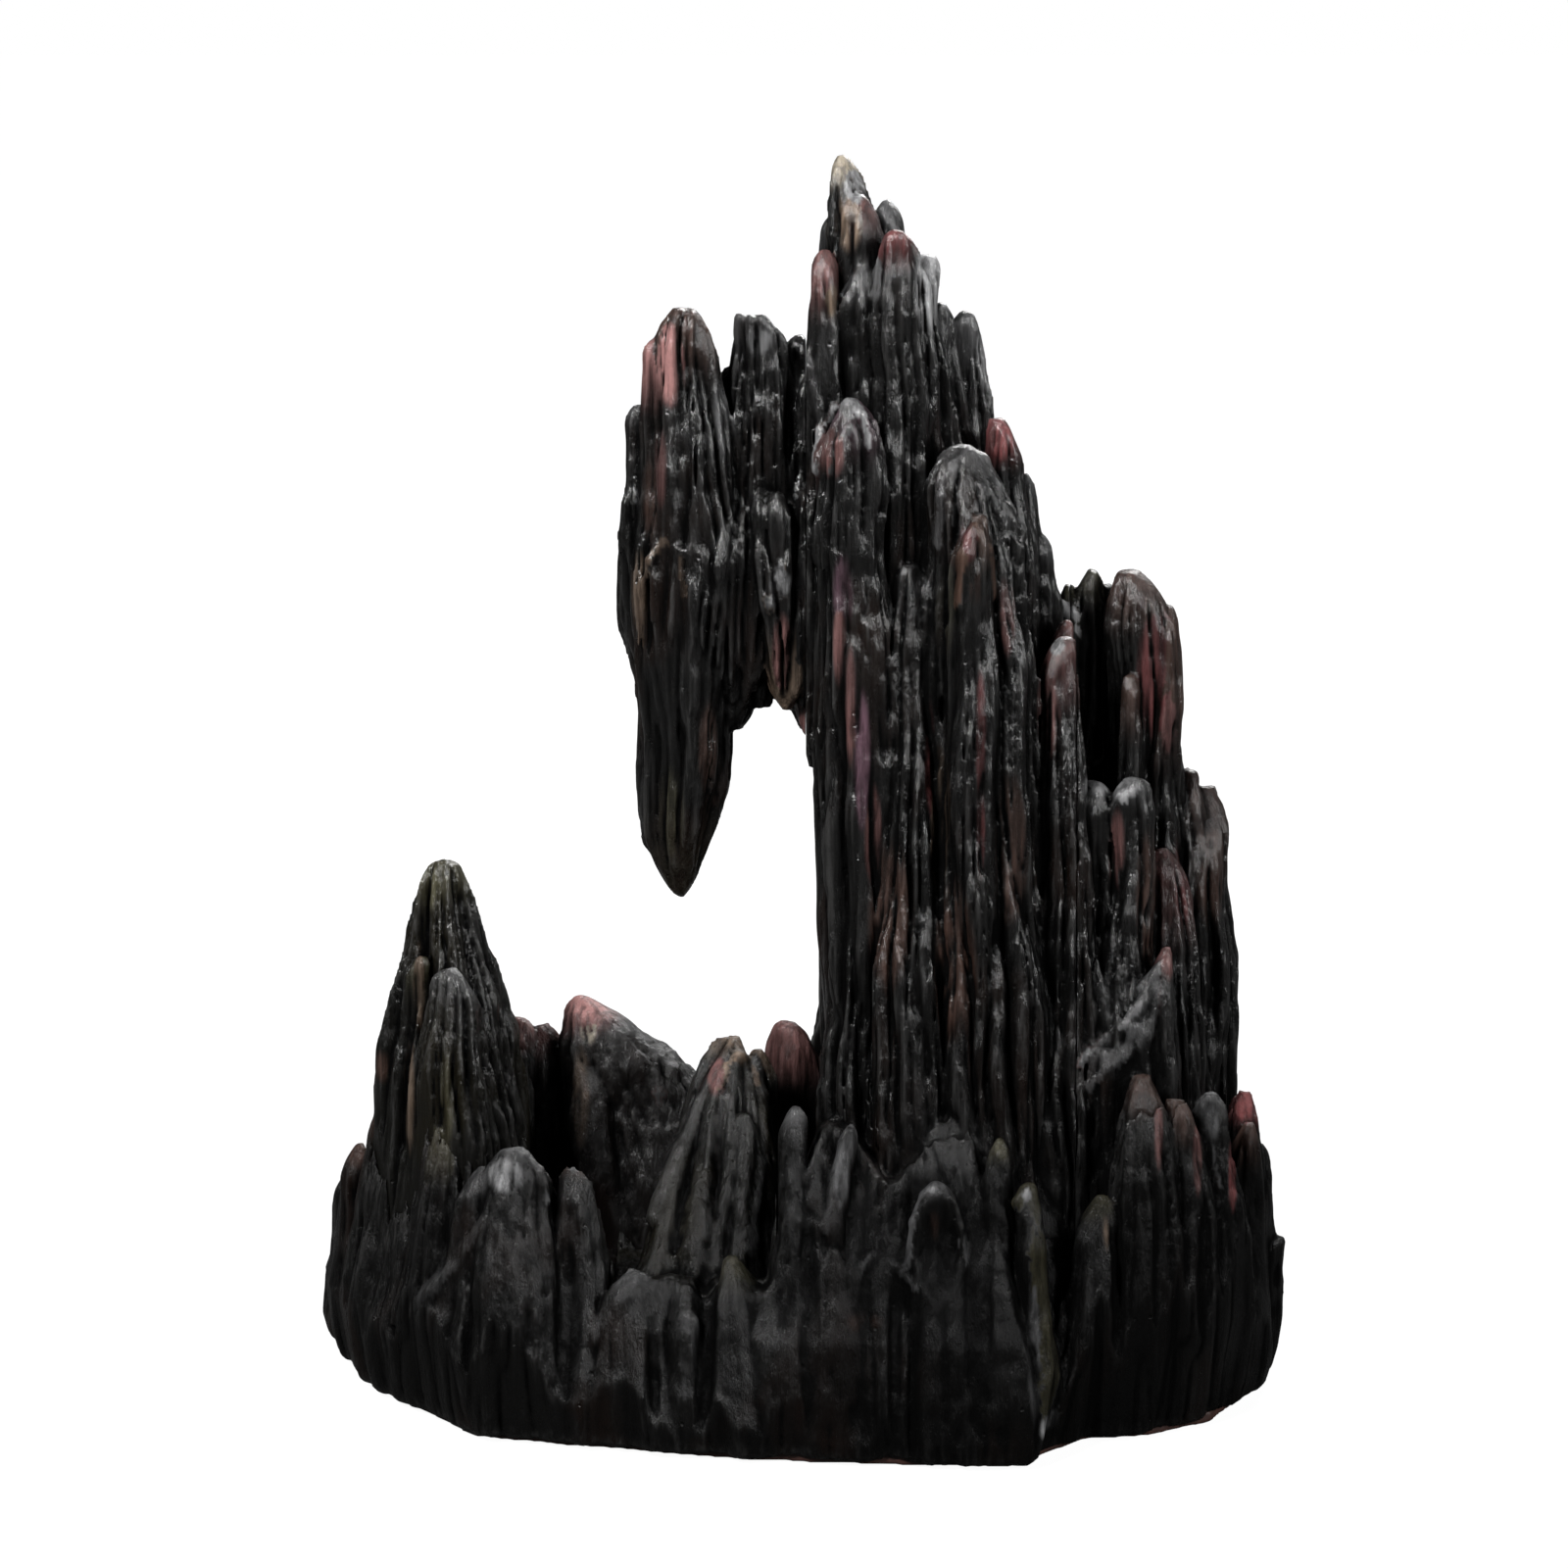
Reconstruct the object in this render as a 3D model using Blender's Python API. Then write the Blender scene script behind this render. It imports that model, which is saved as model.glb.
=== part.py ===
"""Resin cave ornament: a jagged rock arch for an aquarium.

The ornament is a bonded set of polyresin castings on a hollow base casting:
a main tower, an overhang on its left face, a rear slab, a lower right tower,
a left peak, a low rear wall with a cave in it, and two applied stones.
Dowels align the castings, and a thin reddish plate closes the base.

Sizes are written in millimetres and scaled to metres by MM. +X is right, +Y
is away from the viewing side, +Z is up. The origin is on the ground, under
the middle of the base.
"""
import math
import random

import bmesh
import bpy
from mathutils import Vector

MM = 0.001

# ---------------------------------------------------------------- fit and joints
GAP = 0.30                   # clearance kept between neighbouring pieces
HALF_GAP = GAP / 2
OVERHANG_X = 1.0             # joint between overhang and main tower
TOWER_RIGHT_X = 49.0         # joint between main and right tower
REAR_Y = 12.0                # joint between main tower and rear slab
MIDDLE_Y = 0.0               # joint between ridge stone and the stones behind it
EGG_LEFT_X = -12.5           # joint between rear wall and egg stone
EGG_RIGHT_X = 4.6            # right face of the egg stone, inside the main tower
PEAK_REAR_Y = 14.0           # joint between left peak and rear wall
PEAK_RIGHT_X = -50.0         # right face of the left peak

# ---------------------------------------------------------------- base and plate
PLATE_T = 2.4                # bottom plate thickness
PLATE_LIP = 0.7              # how far the plate shows outside the skirt
DRAIN_D = 14.0               # flooding hole in the bottom plate
DRAIN_AT = (-22.0, -6.0)
SKIRT_Z = PLATE_T + GAP      # underside of the base casting
DECK_Z = 20.0                # top of the base casting's deck
DECK_T = 5.0                 # thickness of that deck
SKIRT_T = 5.0                # wall thickness of the base casting's skirt
SEAT_Z = DECK_Z + GAP        # underside of every casting that stands on the deck
POOL_Z = DECK_Z + 1.5        # floor of the pool
CLEAR_Z = 300.0              # above every casting; top of the upright cutters
FLUTE = 0.7                  # half-depth of the bank's upright flutes
# The base's rocky bank: height, outset from the ground outline.
BANK = ((SKIRT_Z, 0.0), (12.0, 0.4), (22.0, -2.0), (31.0, -7.5))

# ---------------------------------------------------------------- dowels and holes
PIN_SLIP = 0.3               # radial clearance of a dowel in its hole
PIN_D = 5.0                  # deck dowels
PIN_LOW = 12.0               # deck dowels run from here ...
PIN_HIGH = 33.0              # ... to here
PIN_SIDES = 20
PIN_HOLE_Z = SEAT_Z + 4      # middle of a deck dowel's hole in its casting
DECK_HOLE_Z = 16.0           # middle of the holes through the deck
DECK_HOLE_LENGTH = 20.0
OPENING_SIDES = 16           # openings through the deck under the hollow towers
DRAIN_SIDES = 32
SMALL_SIDES = 12             # joint dowels and the vent

JOINT_HOLE_LENGTH = 12.0     # hole for a joint dowel in each of its castings
JOINT_END_ROOM = 0.5         # space past each end of a joint dowel
OVERHANG_PIN_R = 1.6
OVERHANG_PIN_LENGTH = 20.0
OVERHANG_PINS = (("overhang_dowel_lower", 146.0), ("overhang_dowel_upper", 178.0))
REAR_PIN_R = 2.0
REAR_PIN_LENGTH = 16.0
REAR_PIN_AT = (24.0, 9.5, 92.0)

VENT_D = 3.2                 # air vent through main tower and rear slab
VENT_LENGTH = 40.0           # length of each of the two vent cutters
VENT_X, VENT_Z = 16.0, 60.0
TOWER_VENT_Y = 8.0           # middle of the vent cutter in the main tower ...
REAR_VENT_Y = 24.0           # ... and in the rear slab

# Deck dowels: name, centre x, y, the casting it locates.
DECK_PINS = [
    ("tower_dowel_left", 9.0, -20.0, "main_tower"),
    ("tower_dowel_right", 42.0, -18.0, "main_tower"),
    ("rear_slab_dowel", 30.0, 20.5, "rear_slab"),
    ("right_tower_dowel", 64.0, -14.0, "right_tower"),
    ("left_peak_dowel", -65.0, -8.0, "left_peak"),
    ("rear_wall_dowel", -28.0, 10.0, "rear_wall"),
    ("ridge_stone_dowel", -15.0, -18.0, "ridge_stone"),
]

# ---------------------------------------------------------------- plan outlines
# Ground outline of the base, counter-clockwise from the left end (x, y).
GROUND = [
    (-90.5, 18.0), (-88.0, 5.5), (-83.5, -7.0), (-78.5, -19.0), (-69.0, -30.0),
    (-59.0, -41.0), (-43.0, -45.0), (-30.0, -47.5), (-20.0, -50.0), (-9.0, -52.0),
    (3.0, -53.0), (14.5, -54.0), (25.0, -54.6), (34.0, -55.0), (40.0, -54.4),
    (44.5, -48.5), (52.0, -42.5), (63.5, -40.5), (76.0, -33.5), (84.0, -19.5),
    (87.0, -7.0), (87.5, 8.0), (85.0, 22.0), (77.5, 34.0), (66.0, 42.5),
    (50.0, 47.5), (30.0, 50.5), (8.0, 51.5), (-14.0, 51.0), (-36.0, 49.0),
    (-56.0, 45.0), (-72.0, 39.0), (-84.0, 30.0),
]

# Plan cells (x, y): the castings that stand on the deck are kept inside
# these, so that neighbours meet on vertical faces one GAP apart.
CELLS = {
    "main_tower": [
        (OVERHANG_X + HALF_GAP, -28.0), (12.0, -28.0), (14.5, -36.0),
        (TOWER_RIGHT_X - HALF_GAP, -36.0), (TOWER_RIGHT_X - HALF_GAP, REAR_Y - HALF_GAP),
        (OVERHANG_X + HALF_GAP, REAR_Y - HALF_GAP)],
    "right_tower": [
        (TOWER_RIGHT_X + HALF_GAP, -36.0), (62.0, -36.0), (74.0, -24.0), (81.0, -8.0),
        (81.0, 20.0), (72.0, 27.0), (TOWER_RIGHT_X + HALF_GAP, 27.0)],
    "rear_slab": [
        (OVERHANG_X + HALF_GAP, REAR_Y + HALF_GAP),
        (TOWER_RIGHT_X - HALF_GAP, REAR_Y + HALF_GAP),
        (TOWER_RIGHT_X - HALF_GAP, 32.0), (OVERHANG_X + HALF_GAP, 32.0)],
    "left_peak": [
        (-80.5, -6.0), (-74.0, -20.0), (-63.0, -28.0), (PEAK_RIGHT_X, -28.0),
        (PEAK_RIGHT_X, PEAK_REAR_Y - HALF_GAP), (-72.0, PEAK_REAR_Y - HALF_GAP),
        (-80.5, 8.0)],
    "rear_wall": [
        (-62.0, PEAK_REAR_Y + HALF_GAP), (PEAK_RIGHT_X + GAP, PEAK_REAR_Y + HALF_GAP),
        (PEAK_RIGHT_X + GAP, 4.0), (-34.0, MIDDLE_Y + HALF_GAP),
        (EGG_LEFT_X - HALF_GAP, MIDDLE_Y + HALF_GAP), (EGG_LEFT_X - HALF_GAP, 26.0),
        (-62.0, 26.0)],
    "ridge_stone": [
        (-34.0, -39.85), (-4.0, -39.85), (-4.0, MIDDLE_Y - HALF_GAP),
        (-34.0, MIDDLE_Y - HALF_GAP)],
    "egg_stone": [
        (EGG_LEFT_X + HALF_GAP, MIDDLE_Y + HALF_GAP), (EGG_RIGHT_X, MIDDLE_Y + HALF_GAP),
        (EGG_RIGHT_X, REAR_Y - HALF_GAP), (EGG_LEFT_X + HALF_GAP, REAR_Y - HALF_GAP)],
}

# Open hollow in the base between left peak, rear wall and ridge stone (x, y).
POOL = [(-51.0, -29.0), (-33.0, -34.0), (-33.0, 2.0), (-51.0, 6.0)]

# ---------------------------------------------------------------- spires
FULLNESS = 1.25              # above 1, a spire keeps its width longer before its tip
RIB_CREST, RIB_TROUGH = 1.07, 0.91   # alternating corner widths round a spire
RIB_SCATTER = (0.96, 1.05)   # random spread of those widths
RIB_WAVER = 0.035            # how much a rib swells and shrinks up the spire
LONG_SPIRE = 90.0            # longer spires get one more ring
HIGH_FOOT_Z = 60.0           # feet above this are buried in neighbours and closed in
HIGH_FOOT_WIDTH = 0.45       # relative width of such a foot

# Each rock finger is a tapering loft from a thick foot to a rounded tip.
# Columns: name, foot (x, y, z), tip (x, y, z), foot half-widths (x, y), tip
# half-widths (x, y), number of sides.
SPIRES = {
    "main_tower": [
        ("core", (22, -3, 14), (7.6, 3, 224.6), (20, 20), (2.3, 2.2), 10),
        ("left_shoulder", (8, 2, 96), (5.6, 3, 213.5), (7.5, 8), (2.0, 2.5), 7),
        ("left_rib", (6.5, -8, 116), (3.9, -4, 208.2), (7.0, 6), (2.1, 2.0), 7),
        ("grey_tip", (18, 4, 110), (15.2, 4, 216.3), (8, 7), (2.4, 2.2), 7),
        ("red_tip", (21, -14, 50), (16.8, -6, 212.2), (9.5, 7), (2.9, 2.6), 8),
        ("right_shard", (27, 2, 90), (21.3, 1, 208.4), (10, 8), (1.7, 1.8), 7),
        ("right_shoulder", (33, 2, 40), (25.0, 3, 198.5), (15, 12), (2.0, 2.5), 8),
        ("nested_left", (12.5, -19, 30), (7.9, -14, 183.3), (10, 7.5), (4.6, 3.6), 9),
        ("front_column", (24, -23, 12), (20.5, -15, 172), (12, 11), (3.4, 3), 8),
        ("whorl_spire", (34, -19, 12), (29.9, -12, 174.6), (13.5, 14), (6.0, 5.2), 10),
        ("whorl_inner", (31.5, -24, 40), (29.6, -19.5, 163.5), (7, 6), (2.8, 2.4), 8),
        ("pink_shoulder", (41, -4, 14), (36.0, -3, 178.3), (12, 14), (2.6, 2.4), 8),
        ("right_thorn", (43, 0, 80), (40.6, 1, 168.2), (7, 7), (1.3, 1.6), 6),
        ("right_thorn_low", (45, 0, 70), (43.8, 1, 157.0), (6, 7), (1.2, 1.5), 6),
        ("hook_ledge", (44, -4, 118), (47.8, -6, 142.6), (5, 5), (1.8, 1.6), 6),
        ("outer_column", (46, -17, 12), (45.6, -12, 140.4), (7.5, 12), (3.2, 2.8), 8),
        ("front_spire_left", (18, -30, 12), (18.3, -26, 87.4), (9, 8), (2.9, 2.4), 8),
        ("front_spire_right", (33, -31, 12), (33.2, -26, 91.0), (9.5, 8), (2.6, 2.4), 8),
        ("left_foot", (9.5, -18, 12), (8.6, -12, 124), (9.5, 11), (3.0, 3), 8),
    ],
    "rear_slab": [
        ("rear_tip", (32, 16, 14), (30.3, 19, 194.8), (14, 9), (3.0, 2.6), 9),
        ("rear_left", (12, 15, 14), (11, 15.5, 168), (12, 8), (3.2, 2.4), 8),
        ("rear_mid", (22, 18, 14), (21, 17, 140), (10, 9), (3.5, 3), 8),
        ("rear_right", (43, 17, 14), (40, 17, 150), (9, 8), (2.4, 2.4), 8),
        ("rear_low", (30, 24, 14), (31, 22, 96), (9, 7), (3.0, 2.6), 7),
    ],
    "right_tower": [
        ("crown_left", (54, 6, 14), (52.6, 7, 149.4), (8.5, 11), (2.6, 2.6), 8),
        ("crown_thorn", (50.5, 4, 80), (49.4, 6, 146.4), (4, 6), (1.3, 1.4), 6),
        ("crown_red", (63, 2, 80), (60.6, 2, 150.0), (6, 9), (3.4, 3.2), 8),
        ("crown_right", (64, 3, 60), (65.2, 2, 146.2), (6.5, 10), (2.8, 2.8), 8),
        ("inner_thorn", (59.6, -7, 96), (59.7, -4.5, 132), (2.2, 2.2), (1.1, 1.0), 6),
        ("ledge_left", (52, -18, 14), (51.8, -13.5, 114.4), (6, 8), (3.0, 3), 7),
        ("ledge_right", (60, -17, 14), (58.6, -13, 115.0), (7, 8), (3.2, 3), 8),
        ("step_inner", (71, 2, 14), (70.6, 3, 112.8), (9, 14), (3.2, 3.4), 8),
        ("step_outer", (73, 0, 14), (75.4, 3, 107.6), (7, 14), (2.9, 3.2), 8),
        ("step_front", (67, -14, 14), (66.4, -9, 101), (8, 9), (3.2, 3), 8),
        ("pink_finger", (64, -26, 14), (64.8, -22, 86.2), (6, 6.5), (2.4, 2.2), 8),
        ("low_ledge", (55, -30, 14), (54.6, -27.5, 68.5), (7.5, 6), (4.4, 2.8), 8),
        ("rear_buttress", (66, 18, 14), (64, 14, 92), (12, 9), (3.4, 3), 8),
    ],
    "left_peak": [
        ("peak", (-65, -5, 14), (-65.2, -6, 97.6), (17.5, 17), (3.6, 3.2), 10),
        ("nested", (-61.5, -21, 14), (-62.2, -18.5, 81.2), (11, 9), (3.4, 2.8), 8),
        ("right_shoulder", (-54, -3, 14), (-55.6, -4, 71), (7, 12), (2.4, 2.6), 7),
        ("left_knob", (-74, -7, 14), (-75.4, -6, 60.5), (7, 9), (2.3, 2.3), 7),
        ("low_knob", (-77, -6, 14), (-77.6, -6, 50), (5, 7), (2.2, 2.2), 6),
    ],
    "rear_wall": [
        ("pink_corner", (-53, 17, 14), (-54.6, 17, 61.6), (9, 9), (3.2, 3), 7),
        ("bridge", (-46.5, 18, 14), (-47, 18, 59.4), (8, 8), (4.2, 3.0), 7),
        ("white_tip", (-38, 13, 14), (-41.2, 15.5, 66.0), (12, 13), (3.5, 3.2), 9),
        ("slope_mid", (-29, 12, 14), (-31.8, 14, 57.6), (11, 12), (3.8, 3.2), 8),
        ("slope_low", (-21, 12, 14), (-22.6, 12, 50.4), (9, 12), (3.6, 3.2), 8),
        ("front_slab", (-30, 4, 14), (-27.6, 3.4, 52.2), (10, 7), (2.6, 2.2), 7),
    ],
    "ridge_stone": [
        ("tan_top", (-15, -15, 14), (-11.5, -8, 65.4), (10, 13), (3.6, 3.4), 9),
        ("side_top", (-9, -12, 14), (-7.4, -8, 63.4), (6, 11), (2.6, 2.4), 7),
        ("pink_step", (-21, -20, 14), (-15.6, -12.5, 61.4), (9, 12), (2.4, 2.2), 7),
        ("slanting_rib", (-27, -30, 14), (-19.5, -17, 52.5), (6, 8), (2.2, 2.2), 7),
        ("front_bulge", (-13, -29, 14), (-10.2, -22, 51.5), (8, 9), (2.8, 2.6), 8),
    ],
    "egg_stone": [
        ("egg", (-2.6, 5.5, 14), (-1.4, 4.6, 64.6), (6.6, 5.2), (4.4, 3.8), 9),
        ("egg_side", (-8, 6, 14), (-6.6, 5.4, 55.5), (5, 5), (2.6, 2.6), 7),
    ],
    "overhang_block": [
        ("left_knob", (-22, 1, 126), (-28.4, 0, 180.2), (9.5, 10), (2.8, 2.6), 8),
        ("red_peak", (-19, -2, 122), (-19.6, -4, 197.4), (11.0, 12.5), (4.6, 4.2), 8),
        ("red_step", (-22, -1, 132), (-24.8, -4, 193.2), (8.5, 10), (2.0, 2.2), 8),
        ("flat_peak", (-9, 0, 130), (-7.0, -2, 196.8), (10.0, 12), (4.3, 3.8), 8),
        ("shoulder", (-2, 1, 132), (0, 2, 193.0), (7.5, 12), (2.6, 2.6), 8),
        ("rear_fin", (-14, 7, 126), (-15, 7, 181), (14, 9), (4, 3), 8),
        ("stalactite", (-20.2, -1, 172), (-21.2, -4, 92.8), (10.2, 12.4), (6.6, 6.0), 10),
        ("stalactite_back", (-20, 5, 164), (-20.5, 3, 103), (9.0, 9), (4.6, 4.2), 8),
        ("ceiling_left", (-11, -3, 166), (-11.6, -6, 127.8), (8, 11), (3.4, 3.2), 8),
        ("ceiling_rib", (-4.6, -4, 166), (-2.8, -9, 126.4), (7, 10), (3.0, 2.8), 8),
        ("ceiling_rear", (-5, 6, 164), (-5.5, 5, 129.0), (8.5, 8), (4.4, 4), 8),
    ],
    "base_casting": [
        ("front_left_stone", (-52, -39, 2), (-49.4, -31, 49.6), (10, 7.5), (5.2, 3.4), 9),
        ("small_finger", (-39.5, -37, 2), (-39.8, -27, 49.2), (6, 8), (3.2, 2.8), 8),
        ("low_spire_left", (-31, -46, 2), (-30.6, -43, 30.2), (8, 5), (4.2, 2.6), 8),
        ("low_spire_mid", (-12, -48, 2), (-11, -43, 34.2), (8.5, 5.5), (3.6, 2.6), 8),
        ("tall_finger", (-0.4, -44, 2), (-0.4, -30.6, 56.6), (5, 8), (2.6, 2.2), 8),
        ("slant_fin", (4.5, -44, 2), (8.4, -31.5, 56.6), (6, 8), (2.0, 2.0), 7),
        ("mid_lump_left", (4, -50, 2), (4.8, -46.5, 34), (6, 4.5), (3.4, 2.4), 7),
        ("mid_lump", (15, -50, 2), (16, -45, 38.6), (8, 6), (3.8, 2.8), 8),
        ("arch_stone", (23, -48, 2), (23.2, -42, 47.8), (9.5, 8), (3.8, 3.0), 9),
        ("paired_tip", (35.5, -46, 2), (35.6, -40, 54.8), (8, 8), (2.6, 2.4), 8),
        ("ridge_tip", (42.5, -49, 2), (40.2, -43.5, 46.6), (5.5, 6), (2.2, 2.2), 7),
        ("yellow_tip", (53, -41, 2), (53, -38.8, 43), (8, 5), (3.0, 2.2), 7),
        ("right_low", (64, -39, 2), (63.5, -36.5, 40), (7, 5), (2.8, 2.4), 7),
        ("right_ridge", (74, -31, 2), (72.6, -27, 58.0), (9, 7.5), (2.8, 2.4), 8),
        ("right_flank", (81, -17, 2), (78.4, -17, 49), (6, 8), (2.6, 2.8), 7),
        ("pink_knob", (83, -8, 2), (82.0, -8, 52.8), (5.5, 7), (2.6, 2.6), 8),
        ("end_slab", (84.5, -3, 2), (86.0, -5, 25.5), (5.5, 9), (3.0, 4.6), 8),
        ("right_rear", (82, 12, 2), (83.2, 10, 44), (6, 9), (2.6, 3.0), 7),
        ("right_back", (76, 26, 2), (75.5, 25.5, 50), (8, 8), (3.0, 3.0), 8),
        ("back_a", (60, 36, 2), (60, 32.5, 62), (11, 9), (3.4, 3.0), 8),
        ("back_b", (42, 40, 2), (42, 36, 74), (10, 9), (3.2, 2.8), 8),
        ("back_c", (26, 42, 2), (25, 37, 86), (10, 9), (3.4, 3.0), 8),
        ("back_d", (8, 42, 2), (9, 37, 66), (11, 9), (3.4, 3.0), 8),
        ("back_e", (-10, 42, 2), (-9, 37, 40), (10, 9), (3.6, 3.2), 8),
        ("back_f", (-28, 40, 2), (-28, 35, 37), (11, 9), (3.6, 3.2), 8),
        ("back_g", (-46, 38, 2), (-45.5, 33, 42), (10, 9), (3.4, 3.0), 8),
        ("back_h", (-63, 32, 2), (-63, 28, 44), (10, 9), (3.4, 3.0), 8),
        ("left_back", (-78, 24, 2), (-77, 22, 38), (9, 9), (3.0, 3.0), 8),
        ("left_end", (-86, 13, 2), (-86, 10, 31), (4.5, 8), (2.4, 2.8), 7),
        ("left_knob", (-84, 1, 2), (-83.4, 0, 43.2), (5.5, 7.5), (2.5, 2.6), 8),
        ("left_corner", (-79, -13, 2), (-78, -12, 33), (6.5, 7.5), (2.6, 2.8), 7),
        ("left_front", (-70.5, -25.5, 2), (-70, -24, 31), (8, 6.5), (2.8, 2.6), 7),
    ],
}

# Spire-shaped cutters, in the same columns: two hollows and the cave.
TOWER_HOLLOW = ("tower_hollow", (25, -8, 4), (19, -6, 150), (11.5, 9.5), (3.0, 3.0), 8)
RIGHT_HOLLOW = ("right_hollow", (62, 6, 4), (60, 5, 104), (8.5, 8.5), (2.6, 2.6), 8)
CAVE = ("cave", (-44.5, 5, 12), (-47.2, 7, 55.5), (8.5, 11), (3.0, 6), 8)
HOLLOW_SEED = 7
CAVE_SEED = 11

# Openings through the deck: the hollow above, radius.
DECK_OPENINGS = ((TOWER_HOLLOW, 8.0), (RIGHT_HOLLOW, 6.5))

# ---------------------------------------------------------------- finishes
# Base colour, roughness.
FINISHES = {
    "charcoal": ((0.045, 0.040, 0.038, 1.0), 0.32),
    "olive": ((0.075, 0.066, 0.040, 1.0), 0.38),
    "tan": ((0.150, 0.100, 0.070, 1.0), 0.42),
    "pink": ((0.170, 0.085, 0.075, 1.0), 0.40),
    "plate": ((0.120, 0.045, 0.032, 1.0), 0.55),
    "pin": ((0.55, 0.53, 0.48, 1.0), 0.45),
}

# Castings: random seed, finish. Spire i of a casting is seeded 100 * seed + i.
CASTINGS = {
    "main_tower": (1, "charcoal"),
    "right_tower": (2, "charcoal"),
    "rear_slab": (3, "charcoal"),
    "left_peak": (4, "olive"),
    "rear_wall": (5, "pink"),
    "ridge_stone": (6, "tan"),
    "egg_stone": (7, "pink"),
    "overhang_block": (8, "charcoal"),
    "base_casting": (9, "charcoal"),
}

# ---------------------------------------------------------------- mesh clean-up
TINY_VOLUME = 1e-12          # cubic metres; slack when Boolean volumes are compared
WELDS = (0.00008, 0.00002, 0.000002, 0.0)   # metres, tried from coarse to none
FLAT_ANGLE = math.radians(0.5)   # faces closer than this are merged


# ---------------------------------------------------------------- scene
def clear_scene():
    for obj in list(bpy.data.objects):
        bpy.data.objects.remove(obj, do_unlink=True)


def new_collection(name):
    col = bpy.data.collections.new(name)
    bpy.context.scene.collection.children.link(col)
    return col


def new_material(name, finish):
    colour, roughness = FINISHES[finish]
    mat = bpy.data.materials.new(name)
    mat.use_nodes = True
    shader = mat.node_tree.nodes["Principled BSDF"]
    shader.inputs["Base Color"].default_value = colour
    shader.inputs["Roughness"].default_value = roughness
    mat.diffuse_color = colour
    return mat


def name_and_paint(obj, name, finish):
    obj.name = name
    obj.data.name = name
    obj.data.materials.clear()
    obj.data.materials.append(new_material(name + "_finish", finish))


# ---------------------------------------------------------------- solids
def mesh_object(name, bm, col):
    mesh = bpy.data.meshes.new(name)
    bmesh.ops.recalc_face_normals(bm, faces=bm.faces)
    bm.to_mesh(mesh)
    bm.free()
    obj = bpy.data.objects.new(name, mesh)
    col.objects.link(obj)
    return obj


def skin_rings(bm, rings):
    """Join successive rings with side faces and close the first ring."""
    for low, high in zip(rings, rings[1:]):
        for i in range(len(low)):
            j = (i + 1) % len(low)
            bm.faces.new((low[i], low[j], high[j], high[i]))
    bm.faces.new(rings[0][::-1])


def spire(row, seed, col):
    """Loft one rock finger between ribbed sections of unlike size."""
    name, foot, tip, foot_half, tip_half, sides = row
    rng = random.Random(seed)
    foot, tip = Vector(foot), Vector(tip)
    length = (tip - foot).length
    high_foot = foot.z > HIGH_FOOT_Z
    rounding = min(0.34, 1.9 * tip_half[0] / length)   # share of length in the round tip
    spin = rng.uniform(0.0, 2.0 * math.pi / sides)
    ribs = [(RIB_CREST if i % 2 else RIB_TROUGH) * rng.uniform(*RIB_SCATTER)
            for i in range(sides)]
    # Ring places as shares of the length, foot to tip.
    levels = [0.0, 0.45, 1.0 - rounding, 1.0 - 0.30 * rounding]
    if length > LONG_SPIRE:
        levels.insert(2, 0.72)
    if high_foot:
        levels.insert(1, 0.16)

    bm = bmesh.new()
    rings = []
    for level in levels:
        into_tip = max(0.0, (level - (1.0 - rounding)) / rounding)
        width = math.sqrt(max(0.0, 1.0 - into_tip * into_tip))
        if high_foot and level == 0.0:
            width = HIGH_FOOT_WIDTH
        centre = foot.lerp(tip, level)
        taper = level ** FULLNESS
        ring = []
        for i in range(sides):
            angle = spin + 2.0 * math.pi * i / sides
            rib = ribs[i] * (1.0 + RIB_WAVER * math.sin(5.0 * level + 2.1 * i))
            half_x, half_y = [(wide + (narrow - wide) * taper) * width * rib
                              for wide, narrow in zip(foot_half, tip_half)]
            point = centre + Vector((half_x * math.cos(angle), half_y * math.sin(angle), 0.0))
            ring.append(bm.verts.new(point * MM))
        rings.append(ring)
    skin_rings(bm, rings)
    apex = bm.verts.new(tip * MM)
    for i in range(sides):
        bm.faces.new((rings[-1][i], rings[-1][(i + 1) % sides], apex))
    return mesh_object(name, bm, col)


def offset_outline(points, grow):
    """Move every side of a counter-clockwise outline outward by grow."""
    moved = []
    for i in range(len(points)):
        before, corner, after = (Vector(points[i - 1]), Vector(points[i]),
                                 Vector(points[(i + 1) % len(points)]))
        side_in = (corner - before).normalized()
        side_out = (after - corner).normalized()
        mitre = Vector((side_in.y, -side_in.x)) + Vector((side_out.y, -side_out.x))
        mitre = mitre / max(1e-6, mitre.length_squared) * 2.0
        moved.append(tuple(corner + mitre * grow))
    return moved


def prism(name, outline, bottom, top, col, grow=0.0):
    """Upright prism over a plan outline, its sides moved out by grow."""
    bm = bmesh.new()
    points = offset_outline(outline, grow) if grow else outline
    face = bm.faces.new([bm.verts.new((x * MM, y * MM, bottom * MM)) for x, y in points])
    extruded = bmesh.ops.extrude_face_region(bm, geom=[face], use_keep_orig=True)
    verts = [item for item in extruded["geom"] if isinstance(item, bmesh.types.BMVert)]
    bmesh.ops.translate(bm, verts=verts, vec=(0.0, 0.0, (top - bottom) * MM))
    return mesh_object(name, bm, col)


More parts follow.
